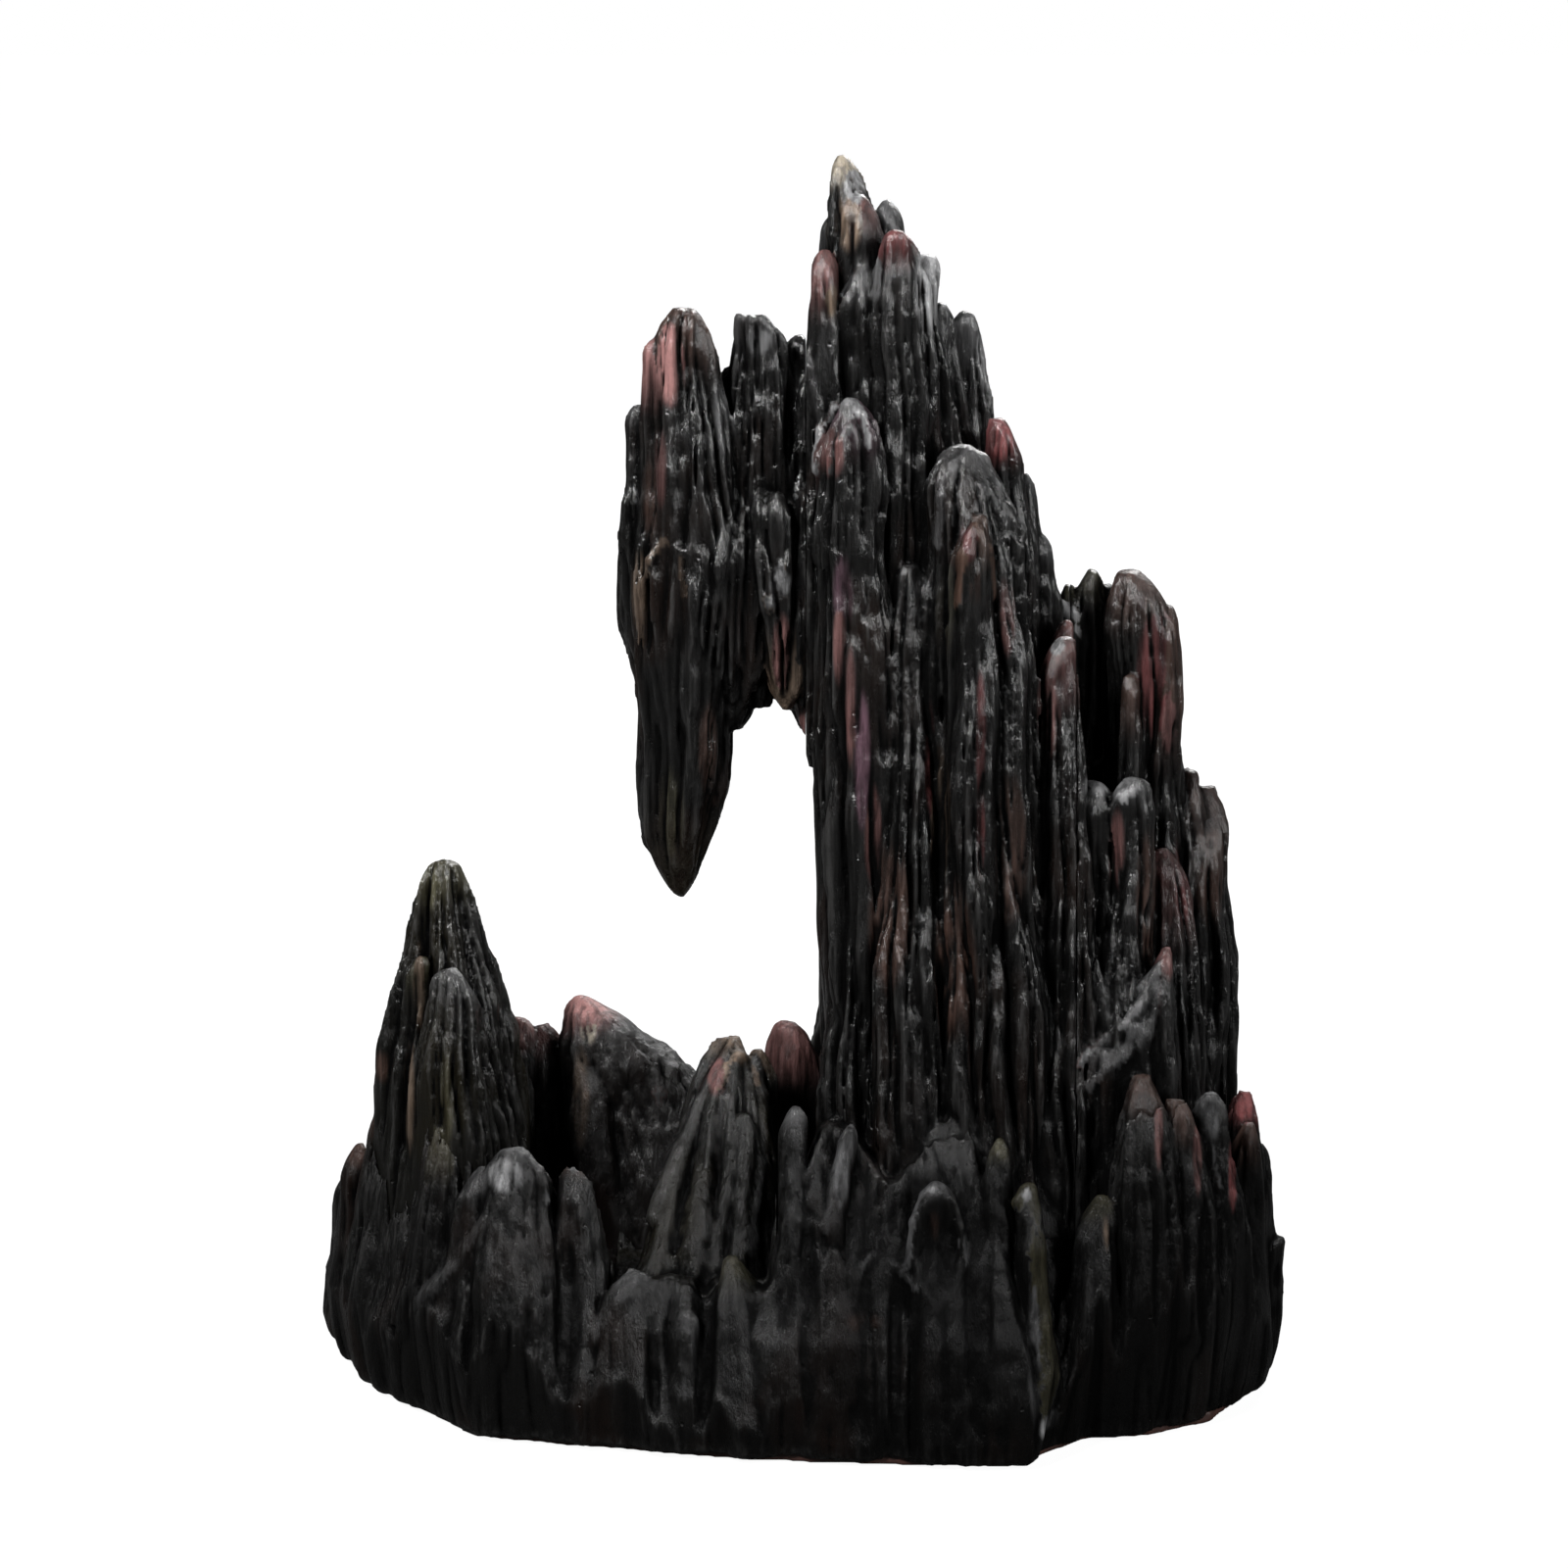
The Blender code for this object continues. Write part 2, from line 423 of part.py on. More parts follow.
def fluted_bank(name, outline, sections, col):
    """Loft between outsets of an outline, with troughs at its corners and
    crests halfway along its sides."""
    fine = []
    for i, (x, y) in enumerate(outline):
        next_x, next_y = outline[(i + 1) % len(outline)]
        fine += [(x, y), ((x + next_x) / 2, (y + next_y) / 2)]
    bm = bmesh.new()
    rings = []
    for z, grow in sections:
        crests = offset_outline(fine, grow + FLUTE)
        troughs = offset_outline(fine, grow - FLUTE)
        ring = []
        for i in range(len(fine)):
            x, y = crests[i] if i % 2 else troughs[i]
            ring.append(bm.verts.new((x * MM, y * MM, z * MM)))
        rings.append(ring)
    skin_rings(bm, rings)
    bm.faces.new(rings[-1])
    return mesh_object(name, bm, col)


def rod(name, centre, radius, length, axis, col, sides=PIN_SIDES):
    """Cylinder centred on a point, along Z, X or Y."""
    bm = bmesh.new()
    bmesh.ops.create_cone(bm, cap_ends=True, segments=sides, radius1=radius * MM,
                          radius2=radius * MM, depth=length * MM)
    obj = mesh_object(name, bm, col)
    obj.location = Vector(centre) * MM
    obj.rotation_euler = {"Z": (0.0, 0.0, 0.0), "X": (0.0, math.pi / 2, 0.0),
                          "Y": (math.pi / 2, 0.0, 0.0)}[axis]
    return obj


def block(name, low, high, col):
    """Upright box between two opposite corners."""
    bm = bmesh.new()
    bmesh.ops.create_cube(bm, size=1.0)
    for vert in bm.verts:
        vert.co = Vector([(low[k] if vert.co[k] < 0 else high[k]) * MM for k in range(3)])
    return mesh_object(name, bm, col)


# ---------------------------------------------------------------- Booleans
def closed_volume(mesh):
    """Signed volume of a closed mesh in cubic metres, or None if it is open."""
    bm = bmesh.new()
    bm.from_mesh(mesh)
    closed = bool(bm.faces) and all(edge.is_manifold for edge in bm.edges)
    volume = bm.calc_volume(signed=True) if closed else None
    bm.free()
    return volume


def boolean_mesh(obj, operation, other, solver):
    mod = obj.modifiers.new(other.name, "BOOLEAN")
    mod.operation = operation
    mod.solver = solver
    mod.object = other
    bpy.context.view_layer.update()
    graph = bpy.context.evaluated_depsgraph_get()
    mesh = bpy.data.meshes.new_from_object(obj.evaluated_get(graph))
    obj.modifiers.clear()
    return mesh


def plausible(operation, result, body, other):
    """Whether a result's volume fits the volumes of the two solids."""
    if result is None or result <= TINY_VOLUME:
        return False
    if operation == "UNION":
        return max(body, other) - TINY_VOLUME <= result <= body + other + TINY_VOLUME
    if operation == "DIFFERENCE":
        return body - other - TINY_VOLUME <= result <= body + TINY_VOLUME
    return result <= min(body, other) + TINY_VOLUME


def apply_booleans(obj, operation, others):
    """Combine obj with each of the others in order, and drop the others.

    Each step uses the EXACT solver; where that leaves an open or a collapsed
    mesh, the step is repeated with MANIFOLD.
    """
    for other in others:
        result = boolean_mesh(obj, operation, other, "EXACT")
        if not plausible(operation, closed_volume(result), closed_volume(obj.data),
                         closed_volume(other.data)):
            bpy.data.meshes.remove(result)
            result = boolean_mesh(obj, operation, other, "MANIFOLD")
        old = obj.data
        obj.data = result
        bpy.data.meshes.remove(old)
    for other in others:
        bpy.data.objects.remove(other, do_unlink=True)


def keep_largest_shell(bm):
    """Delete all but the connected shell with the most faces."""
    seen, shells = set(), []
    for start in bm.faces:
        if start in seen:
            continue
        stack, shell = [start], []
        seen.add(start)
        while stack:
            face = stack.pop()
            shell.append(face)
            for edge in face.edges:
                for neighbour in edge.link_faces:
                    if neighbour not in seen:
                        seen.add(neighbour)
                        stack.append(neighbour)
        shells.append(shell)
    shells.sort(key=len, reverse=True)
    specks = [face for shell in shells[1:] for face in shell]
    if specks:
        bmesh.ops.delete(bm, geom=specks, context="FACES")
    loose = [vert for vert in bm.verts if not vert.link_faces]
    bmesh.ops.delete(bm, geom=loose, context="VERTS")


def tidy(obj):
    """Flatten cut faces, weld slivers and drop specks, keeping it closed."""
    for weld in WELDS:
        bm = bmesh.new()
        bm.from_mesh(obj.data)
        if weld:
            bmesh.ops.remove_doubles(bm, verts=bm.verts, dist=weld)
            bmesh.ops.dissolve_degenerate(bm, edges=bm.edges, dist=weld)
            bmesh.ops.dissolve_limit(bm, angle_limit=FLAT_ANGLE, verts=bm.verts,
                                     edges=bm.edges)
        keep_largest_shell(bm)
        bmesh.ops.triangulate(bm, faces=bm.faces)
        bmesh.ops.recalc_face_normals(bm, faces=bm.faces)
        closed = (all(edge.is_manifold for edge in bm.edges)
                  and all(vert.is_manifold for vert in bm.verts))
        if closed or not weld:
            bm.to_mesh(obj.data)
        bm.free()
        if closed:
            return


# ---------------------------------------------------------------- hole cutters
def deck_pin_holes(casting, tools):
    """Holes in a standing casting for its deck dowels."""
    return [rod("hole", (x, y, PIN_HOLE_Z), PIN_D / 2 + PIN_SLIP,
                2 * (PIN_HIGH + GAP - PIN_HOLE_Z), "Z", tools)
            for _, x, y, owner in DECK_PINS if owner == casting]


def joint_hole_shift(pin_length):
    """Distance from a joint dowel's middle to the middle of either hole."""
    return pin_length / 2 + JOINT_END_ROOM - JOINT_HOLE_LENGTH / 2


def overhang_pin_holes(side, tools):
    """Overhang dowel holes, right (side 1) or left (side -1) of the joint."""
    x = OVERHANG_X + side * joint_hole_shift(OVERHANG_PIN_LENGTH)
    return [rod("hole", (x, 0.0, z), OVERHANG_PIN_R + PIN_SLIP, JOINT_HOLE_LENGTH, "X",
                tools, SMALL_SIDES) for _, z in OVERHANG_PINS]


def rear_pin_hole(side, tools):
    """Rear slab's upper dowel hole, behind (side 1) or before (side -1) the joint."""
    x, y, z = REAR_PIN_AT
    y += side * joint_hole_shift(REAR_PIN_LENGTH)
    return rod("hole", (x, y, z), REAR_PIN_R + PIN_SLIP, JOINT_HOLE_LENGTH, "Y", tools,
               SMALL_SIDES)


def vent_hole(y, tools):
    return rod("hole", (VENT_X, y, VENT_Z), VENT_D / 2, VENT_LENGTH, "Y", tools, SMALL_SIDES)


# ---------------------------------------------------------------- castings
def casting_spires(name, col, first=0):
    """A casting's spires, from the given row on."""
    seed = CASTINGS[name][0] * 100
    return [spire(row, seed + i, col)
            for i, row in enumerate(SPIRES[name]) if i >= first]


def rock(name, parts, tools):
    """Unite a casting's spires into one body."""
    body = spire(SPIRES[name][0], CASTINGS[name][0] * 100, parts)
    apply_booleans(body, "UNION", casting_spires(name, tools, first=1))
    return body


def finish_casting(body, name):
    tidy(body)
    name_and_paint(body, name, CASTINGS[name][1])


def standing_casting(name, cutters, parts, tools):
    """Casting that stands on the deck, trimmed to its plan cell and then cut."""
    body = rock(name, parts, tools)
    apply_booleans(body, "INTERSECT", [prism("cell", CELLS[name], SEAT_Z, CLEAR_Z, tools)])
    apply_booleans(body, "DIFFERENCE", cutters)
    finish_casting(body, name)


def make_main_tower(parts, tools):
    """Stepped round the egg stone, hollow from below, and vented behind."""
    egg_room = block("egg_room", (-20, MIDDLE_Y - HALF_GAP, 10),
                     (EGG_RIGHT_X + GAP, 13.0, 69.0), tools)
    cutters = [
        egg_room,
        spire(TOWER_HOLLOW, HOLLOW_SEED, tools),
        *deck_pin_holes("main_tower", tools),
        *overhang_pin_holes(1, tools),
        rear_pin_hole(-1, tools),
        vent_hole(TOWER_VENT_Y, tools),
    ]
    standing_casting("main_tower", cutters, parts, tools)


def make_right_tower(parts, tools):
    """Hollow from below."""
    cutters = [spire(RIGHT_HOLLOW, HOLLOW_SEED, tools), *deck_pin_holes("right_tower", tools)]
    standing_casting("right_tower", cutters, parts, tools)


def make_rear_slab(parts, tools):
    """Pinned to the tower's back, with the vent carried through it."""
    cutters = [
        *deck_pin_holes("rear_slab", tools),
        rear_pin_hole(1, tools),
        vent_hole(REAR_VENT_Y, tools),
    ]
    standing_casting("rear_slab", cutters, parts, tools)


def make_rear_wall(parts, tools):
    """The cave is an arched hollow in its front face."""
    cutters = [spire(CAVE, CAVE_SEED, tools), *deck_pin_holes("rear_wall", tools)]
    standing_casting("rear_wall", cutters, parts, tools)


def make_plain_casting(name, parts, tools):
    """Solid standing casting with no cuts but its dowel holes, if any."""
    standing_casting(name, deck_pin_holes(name, tools), parts, tools)


def make_overhang(parts, tools):
    """Cut flat on its right, where it is bonded to the tower on two dowels."""
    body = rock("overhang_block", parts, tools)
    joint = block("joint", (OVERHANG_X - HALF_GAP, -60, 60), (60, 60, 260), tools)
    apply_booleans(body, "DIFFERENCE", [joint, *overhang_pin_holes(-1, tools)])
    finish_casting(body, "overhang_block")


def make_base_casting(parts, tools):
    """Skirt and deck with rim spires, cleared above the deck and hollow below."""
    body = fluted_bank("skirt", GROUND, BANK, parts)
    apply_booleans(body, "UNION", casting_spires("base_casting", tools))

    cutters = [block("ground", (-120, -90, -20), (120, 90, SKIRT_Z), tools)]
    for outline in CELLS.values():
        cutters.append(prism("room", outline, DECK_Z, CLEAR_Z, tools, GAP))
    cutters.append(prism("pool", POOL, POOL_Z, CLEAR_Z, tools))
    cutters.append(prism("hollow", GROUND, -2.0, DECK_Z - DECK_T, tools, -SKIRT_T))
    for hollow, radius in DECK_OPENINGS:
        x, y, _ = hollow[1]
        cutters.append(rod("hole", (x, y, DECK_HOLE_Z), radius, DECK_HOLE_LENGTH, "Z",
                           tools, OPENING_SIDES))
    for _, x, y, _ in DECK_PINS:
        cutters.append(rod("hole", (x, y, DECK_HOLE_Z), PIN_D / 2 + PIN_SLIP,
                           DECK_HOLE_LENGTH, "Z", tools))
    apply_booleans(body, "DIFFERENCE", cutters)
    finish_casting(body, "base_casting")


# ---------------------------------------------------------------- plate and dowels
def make_base_plate(parts, tools):
    """Bottom plate with its flooding hole."""
    plate = prism("base_plate", GROUND, 0.0, PLATE_T, parts, PLATE_LIP)
    drain = rod("hole", (*DRAIN_AT, 0.0), DRAIN_D / 2, 20.0, "Z", tools, DRAIN_SIDES)
    apply_booleans(plate, "DIFFERENCE", [drain])
    tidy(plate)
    name_and_paint(plate, "base_plate", "plate")


def make_dowel(name, centre, radius, length, axis, sides, parts):
    pin = rod(name, centre, radius, length, axis, parts, sides)
    name_and_paint(pin, name, "pin")


def make_dowels(parts):
    for name, x, y, _ in DECK_PINS:
        make_dowel(name, (x, y, (PIN_LOW + PIN_HIGH) / 2), PIN_D / 2, PIN_HIGH - PIN_LOW,
                   "Z", PIN_SIDES, parts)
    for name, z in OVERHANG_PINS:
        make_dowel(name, (OVERHANG_X, 0.0, z), OVERHANG_PIN_R, OVERHANG_PIN_LENGTH,
                   "X", SMALL_SIDES, parts)
    make_dowel("rear_slab_dowel_upper", REAR_PIN_AT, REAR_PIN_R, REAR_PIN_LENGTH,
               "Y", SMALL_SIDES, parts)


def main():
    clear_scene()
    parts = new_collection("resin_cave_ornament")
    tools = new_collection("cutters")
    make_main_tower(parts, tools)
    make_right_tower(parts, tools)
    make_rear_slab(parts, tools)
    make_rear_wall(parts, tools)
    for name in ("left_peak", "ridge_stone", "egg_stone"):
        make_plain_casting(name, parts, tools)
    make_overhang(parts, tools)
    make_base_casting(parts, tools)
    make_base_plate(parts, tools)
    make_dowels(parts)
    bpy.data.collections.remove(tools)


main()
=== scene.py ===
"""Looks for the resin cave ornament: fluted rock spires on a low oval base.

+Z is up, -Y is the front and +X the right. Each casting is grown as a level-set
field, cut to the frame's joint planes and meshed. Rock code works in millimetres
(negative distance is rock); meshes, lights and camera are in metres.
"""
import copy
import itertools
import math
import random

import bpy
import numpy as np
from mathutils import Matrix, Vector


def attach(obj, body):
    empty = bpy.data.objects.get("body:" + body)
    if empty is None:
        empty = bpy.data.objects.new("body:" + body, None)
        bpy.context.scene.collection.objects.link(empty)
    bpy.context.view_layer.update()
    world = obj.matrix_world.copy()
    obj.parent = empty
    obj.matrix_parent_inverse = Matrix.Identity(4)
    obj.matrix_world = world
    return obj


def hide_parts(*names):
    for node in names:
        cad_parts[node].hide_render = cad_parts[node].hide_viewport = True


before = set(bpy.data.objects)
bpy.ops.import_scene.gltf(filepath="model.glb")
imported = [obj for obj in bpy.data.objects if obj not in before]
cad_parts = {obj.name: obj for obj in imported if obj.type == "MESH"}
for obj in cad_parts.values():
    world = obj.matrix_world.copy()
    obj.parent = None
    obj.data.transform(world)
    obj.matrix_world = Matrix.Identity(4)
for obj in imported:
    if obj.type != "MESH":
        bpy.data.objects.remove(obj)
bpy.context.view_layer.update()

MM = 0.001
GAP = 0.02              # half the hairline kept between neighbouring castings
PLATE_T = 2.4           # base plate thickness
DECK_Z = 20.0           # deck of the base casting, where the others stand
SEAT_Z = DECK_Z + 0.3   # underside of the castings on the deck
TOWER_JOINT_X = 1.0     # overhang block meets main tower
EGG_JOINT_X = 4.75      # right side of the egg stone
STEP = ((0.45, 0.62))   # grid pitch: across, upright
OUTSIDE = 5.0           # distance forced on the border of a grid
FLUTE_BAND = 3.2        # flutes are worked out this near a spire's surface
WEATHER_BAND = 1.9      # and weathering this near the finished one
BEAD_PAINT_REACH = 30.0
LATTICE = 48            # noise lattice points per axis
CORNERS = list(itertools.product((0, 1), repeat=3))

# ------------------------------------------------------------------ outlines
# (x, y) corners of the base, anticlockwise from the left
GROUND = [
    (-90.5, 18.0), (-88.0, 5.5), (-83.5, -7.0), (-78.5, -19.0), (-69.0, -30.0),
    (-59.0, -41.0), (-43.0, -45.0), (-30.0, -47.5), (-20.0, -50.0), (-9.0, -52.0),
    (3.0, -53.0), (14.5, -54.0), (25.0, -54.6), (34.0, -55.0), (40.0, -54.4),
    (44.5, -48.5), (52.0, -42.5), (63.5, -40.5), (76.0, -33.5), (84.0, -19.5),
    (87.0, -7.0), (87.5, 8.0), (85.0, 22.0), (77.5, 34.0), (66.0, 42.5),
    (50.0, 47.5), (30.0, 50.5), (8.0, 51.5), (-14.0, 51.0), (-36.0, 49.0),
    (-56.0, 45.0), (-72.0, 39.0), (-84.0, 30.0),
]
# (x, y) corners of the joint planes round each casting that stands on the deck
CELLS = {
    "main_tower": [(TOWER_JOINT_X, -28.0), (12.0, -28.0), (14.5, -36.0), (49.0, -36.0),
                   (49.0, 12.0), (TOWER_JOINT_X, 12.0)],
    "right_tower": [(49.0, -36.0), (62.0, -36.0), (74.0, -24.0), (81.0, -8.0),
                    (81.0, 20.0), (72.0, 27.0), (49.0, 27.0)],
    "rear_slab": [(1.0, 12.0), (49.0, 12.0), (49.0, 32.0), (1.0, 32.0)],
    "left_peak": [(-80.5, -6.0), (-74.0, -20.0), (-63.0, -28.0), (-50.0, -28.0),
                  (-50.0, 14.0), (-72.0, 14.0), (-80.5, 8.0)],
    "rear_wall": [(-62.0, 14.0), (-49.85, 14.0), (-49.85, 4.0), (-34.0, 0.0),
                  (-12.5, 0.0), (-12.5, 26.0), (-62.0, 26.0)],
    "ridge_stone": [(-34.0, -40.0), (-4.0, -40.0), (-4.0, 0.0), (-34.0, 0.0)],
    "egg_stone": [(-12.5, 0.0), (EGG_JOINT_X, 0.0), (EGG_JOINT_X, 12.0), (-12.5, 12.0)],
}
POOL = [(-50.0, -29.0), (-33.5, -34.0), (-33.5, 1.0), (-50.0, 5.0)]

# ------------------------------------------------------------------ spires
# Columns: foot x y z, tip x y z, foot half-widths x y, tip half-widths x y,
# paint kind strength reach, number of nested ribs, further settings of spire().
# The place of a name and of a row seeds its noise, so their order matters.
# a white tip is a painted highlight where light catches it
SPIRES = {
    "main_tower": """
    25 -3 10  7.6 3 224.6  18.5 20  3.1 2.6  cream 0.9 8  10  blunt=1.7 dome=0.5
    8 2 96  5.6 3 213.5  7.5 8  1.9 2.4  grey 0.4 12  3
    6.5 -8 116  3.9 -4 208.2  7.0 6  2.0 1.9  pink 0.75 14  2
    18 4 110  15.2 4 216.3  8 7  2.2 2.1  grey 0.6 10  3
    20.5 -14 50  16.4 -6 212.2  10.5 7.5  3.4 2.6  red 0.9 9  4  dome=0.6
    13 -5 130  11.4 -1 217.4  7.5 6.5  3.0 2.2  pink 0.5 9  2  slant=1.8
    12.5 -4 120  10.6 -5 205.0  8.5 7.0  3.2 2.4  grey 0.3 8  2
    22 -8 110  20.5 -4 205.0  8 7  2.6 2.4  grey 0.4 8  2
    27 1 90  21.4 -1 206.6  10 8.5  2.7 2.2  white 0.8 16  3  slant=0.9
    33 2 40  25.0 3 198.5  15 12  1.8 2.3  grey 0.4 14  5
    15 -19 30  7.9 -14 183.3  9.5 7.5  4.2 3.4  mauve 0.3 14  4
    6.6 -17 60  5.6 -12 176.5  5 5  1.9 1.9  pink 0.4 12  1
    22 -24 0  20.5 -13 154  14 18.5  3.6 2.8  grey 0.1 10  4  fold=1.6 flute=0.8
    36 -21.5 0  29.9 -12 174.6  15 20.5  6.4 5.2  grey 0.35 10  4  fold=1.6 flute=0.8 dome=0.8 slant=0.6
    31.5 -22 40  29.6 -19.5 163.5  7 6  2.8 2.4  orange 0.35 12  2
    30.5 -22.5 60  30.2 -21.2 156.5  4.6 4.6  1.6 1.5  brown 0.5 10  0
    41 -4 10  36.0 -3 178.3  12 14  2.5 2.3  red 0.7 10  5
    43 0 80  40.6 1 168.2  7 7  1.3 1.6  grey 0.4 8  1
    45 0 70  43.8 1 157.0  6 7  1.2 1.5  grey 0.4 8  1
    44 -4 118  47.8 -6 142.6  5 5  1.8 1.6  pink 0.6 6  0
    49 -22 0  45.6 -12 140.4  10 16.5  3.0 2.6  pink 0.4 16  3
    17 -33 0  18.3 -23.5 88.4  9 12  2.5 2.2  grey 0.25 6  1
    33 -33 0  33.2 -23.5 92.0  9.5 12  2.3 2.2  brown 0.3 10  1
    14 -22.5 0  10.0 -12 124  10.0 16.5  3.0 3  none 0 1  3  fold=1.2
    11 -28 0  10.6 -24 66  6 10  1.7 1.8  grey 0.3 8  1""",
    "right_tower": """
    54 6 10  52.6 7 149.4  8.5 11  2.4 2.5  olive 0.4 8  4
    50.5 4 80  49.4 6 146.4  4 6  1.3 1.4  olive 0.4 5  0
    63.5 2 60  61.4 2 150.0  8.2 9.5  5.0 3.6  brown 0.7 14  1  blunt=1.2 flute=0.7 slant=0.9 dome=1.0
    66 2 60  65.8 1 143.6  5.2 10  2.3 2.8  brown 0.7 34  2
    57.5 8 40  56.6 9 146.5  7.5 6  4.2 3.0  none 0 1  0  flute=0.5
    59.6 -7 96  59.7 -4.5 132  2.2 2.2  1.1 1.0  brown 0.5 14  0
    52 -18 10  51.8 -13.5 114.4  6 8  2.8 2.8  white 0.35 6  3
    60 -22 0  58.6 -13 115.0  9 14  3.0 2.8  white 0.35 6  2  fold=1.2
    56 -14 10  55.4 -11 111.0  7 8  3.4 2.8  grey 0.3 6  2
    71 2 10  70.6 3 112.8  9 14  3.0 3.2  brown 0.4 14  4
    73 0 10  74.6 3 109.4  7.6 14  3.6 3.2  brown 0.4 14  4  slant=1.8
    68 2 60  67.4 3 114.4  6 10  2.6 2.6  grey 0.3 8  1  slant=1.8
    68 -18 0  66.4 -9 101  9 14  3.0 2.8  pink 0.35 20  2  fold=1.2
    64 -26 10  64.8 -22 86.2  6 6.5  2.1 2.0  pink 0.6 5  0
    56.0 -25.5 56  63.4 -22.6 83.4  4.6 3.6  1.5 1.4  grey 0.3 16  3  flute=1.6
    55 -30 10  54.6 -26 68.5  7.5 6  3.4 2.2  grey 0.3 6  0  slant=1.6
    66 18 10  64 14 92  12 9  3.2 2.9  none 0 1  4
    59.5 -29 10  59.6 -25 73  5 5  2.0 1.8  grey 0.4 6  0  slant=1.4""",
    "rear_slab": """
    32 16 10  30.3 19 194.8  14 9  2.8 2.4  grey 0.6 14  5
    12 15 10  11 15.5 168  12 8  3.0 2.3  none 0 1  5
    22 18 10  21 17 140  10 9  3.4 2.9  grey 0.3 10  4
    43 17 10  40 17 150  9 8  2.3 2.3  pink 0.4 10  4
    30 24 10  31 22 96  9 7  2.9 2.5  pink 0.4 10  3
    12 25 10  13 22 78  9 6  2.6 2.3  grey 0.3 8  3""",
    "left_peak": """
    -64 -8 0  -65.2 -6 97.6  20 22  3.7 3.4  olive 0.7 10  5  blunt=2.2 fold=1.8 dome=0.8
    -61.0 -24 0  -62.2 -18.5 81.2  13 15  3.2 2.7  grey 0.25 8  3  fold=1.2
    -54 -3 10  -55.6 -4 71  7 12  2.3 2.5  none 0 1  2
    -69 -10 10  -68.6 -12 82  8 8  2.2 2.2  olive 0.3 10  2
    -74 -7 10  -75.4 -6 60.5  7 9  2.2 2.2  brown 0.8 6  2
    -77 -6 10  -77.6 -6 50  5 7  2.1 2.1  brown 0.8 6  1""",
    "rear_wall": """
    -53 17 10  -54.4 17 61.8  9 9  3.2 2.9  rose 0.8 8  1  flute=0.6
    -46.5 18 10  -48 18 60.0  8 8  4.0 2.9  pink 0.6 8  1  flute=0.6
    -12 9 20  -41.0 15.5 66.6  31 12  3.4 3.2  rose 1.6 9  0  flute=0.35 full=1.0 slant=0.4 blunt=1.5 dome=1.0
    -36 6 20  -39.5 12.0 58.0  9 9  2.6 2.4  grey 0.3 8  0  flute=0.4
    -21 12 10  -24.6 12 53.0  9 12  3.0 2.9  none 0 1  1  flute=0.6
    -24 4 10  -26.4 8.4 50.6  8 5  1.7 1.5  grey 0.3 6  0  flute=0.5 slant=1.6""",
    "ridge_stone": """
    -17 -26 0  -11.5 -8 65.4  17 24  3.9 3.6  tan 0.6 7  3  blunt=2.4 fold=2.6 full=1.1
    -9 -12 10  -7.4 -8 63.4  6 11  2.5 2.3  tan 0.5 7  1
    -25 -33 0  -15.6 -12.5 61.0  7 12  2.1 2.0  pink 0.6 6  1  fold=1.0
    -33 -42 0  -18.5 -15 55.5  5 7  1.7 1.7  grey 0.3 8  0
    -13 -36 0  -10.2 -20 54.5  8 12  2.1 2.1  none 0 1  1  fold=1.0""",
    "egg_stone": """
    -2.6 5.5 10  -1.4 4.6 64.6  6.6 5.2  4.6 4.1  pink 0.8 14  0  blunt=2.2 flute=0.35 slant=0.5 dome=1.5
    -8 6 10  -6.6 5.4 55.5  5 5  2.5 2.5  tan 0.4 8  1""",
    # ten spires stand up, then eight hang down
    "overhang_block": """
    -22 1 126  -28.4 0 180.2  9.5 10  2.7 2.5  grey 0.4 6  3
    -19 -2 122  -19.4 -4 198.0  11.0 12.5  4.7 4.3  brown 0.8 15  4  blunt=2.2 dome=0.8
    -22 -1 132  -24.4 -4 192.0  8.5 10  2.2 2.3  rose 0.9 14  1
    -9 0 130  -7.0 -2 196.8  10.0 12  4.2 3.7  grey 0.3 10  4  blunt=1.2
    -13.5 0 130  -13.5 0 187.5  6 9  1.8 2.0  none 0 1  2
    -2 1 132  0 2 193.0  8.5 12  2.8 2.8  none 0 1  2
    3 -2 122  3.4 0 190.0  8.5 12  3.4 4.0  none 0 1  3
    -14 7 126  -15 7 181  14 9  4 3  none 0 1  5
    -12 1 126  -11.5 1 186  12 10  3.4 3  none 0 1  3
    0 0 126  1.0 1 187  10 11  4.4 3.6  none 0 1  3
    -20.2 -1 172  -21.4 -6 91.6  10.2 12.4  4.6 4.8  olive 0.15 20  5  blunt=3.4 slant=0.3
    -25.5 -2 170  -26.6 -4 100.0  4.6 8  2.1 2.6  none 0 1  1
    -16.5 -2 168  -15.6 -4 108  6.5 9  2.4 3.4  brown 0.3 12  2
    -20 5 164  -20.5 3 103  9.0 9  4.2 3.9  none 0 1  3
    -11 -3 166  -11.6 -6 127.8  8 11  3.4 3.2  none 0 1  3
    -4.6 -4 166  -2.8 -9 126.4  7 10  3.0 2.8  tan 0.5 18  3
    1.5 -3 166  1.0 -7 121.5  6 9  2.2 2.6  pink 0.4 14  2
    -5 6 164  -5.5 5 129.0  8.5 8  4.4 4  none 0 1  3""",
    # along the front and right side, then the back, then the left flank
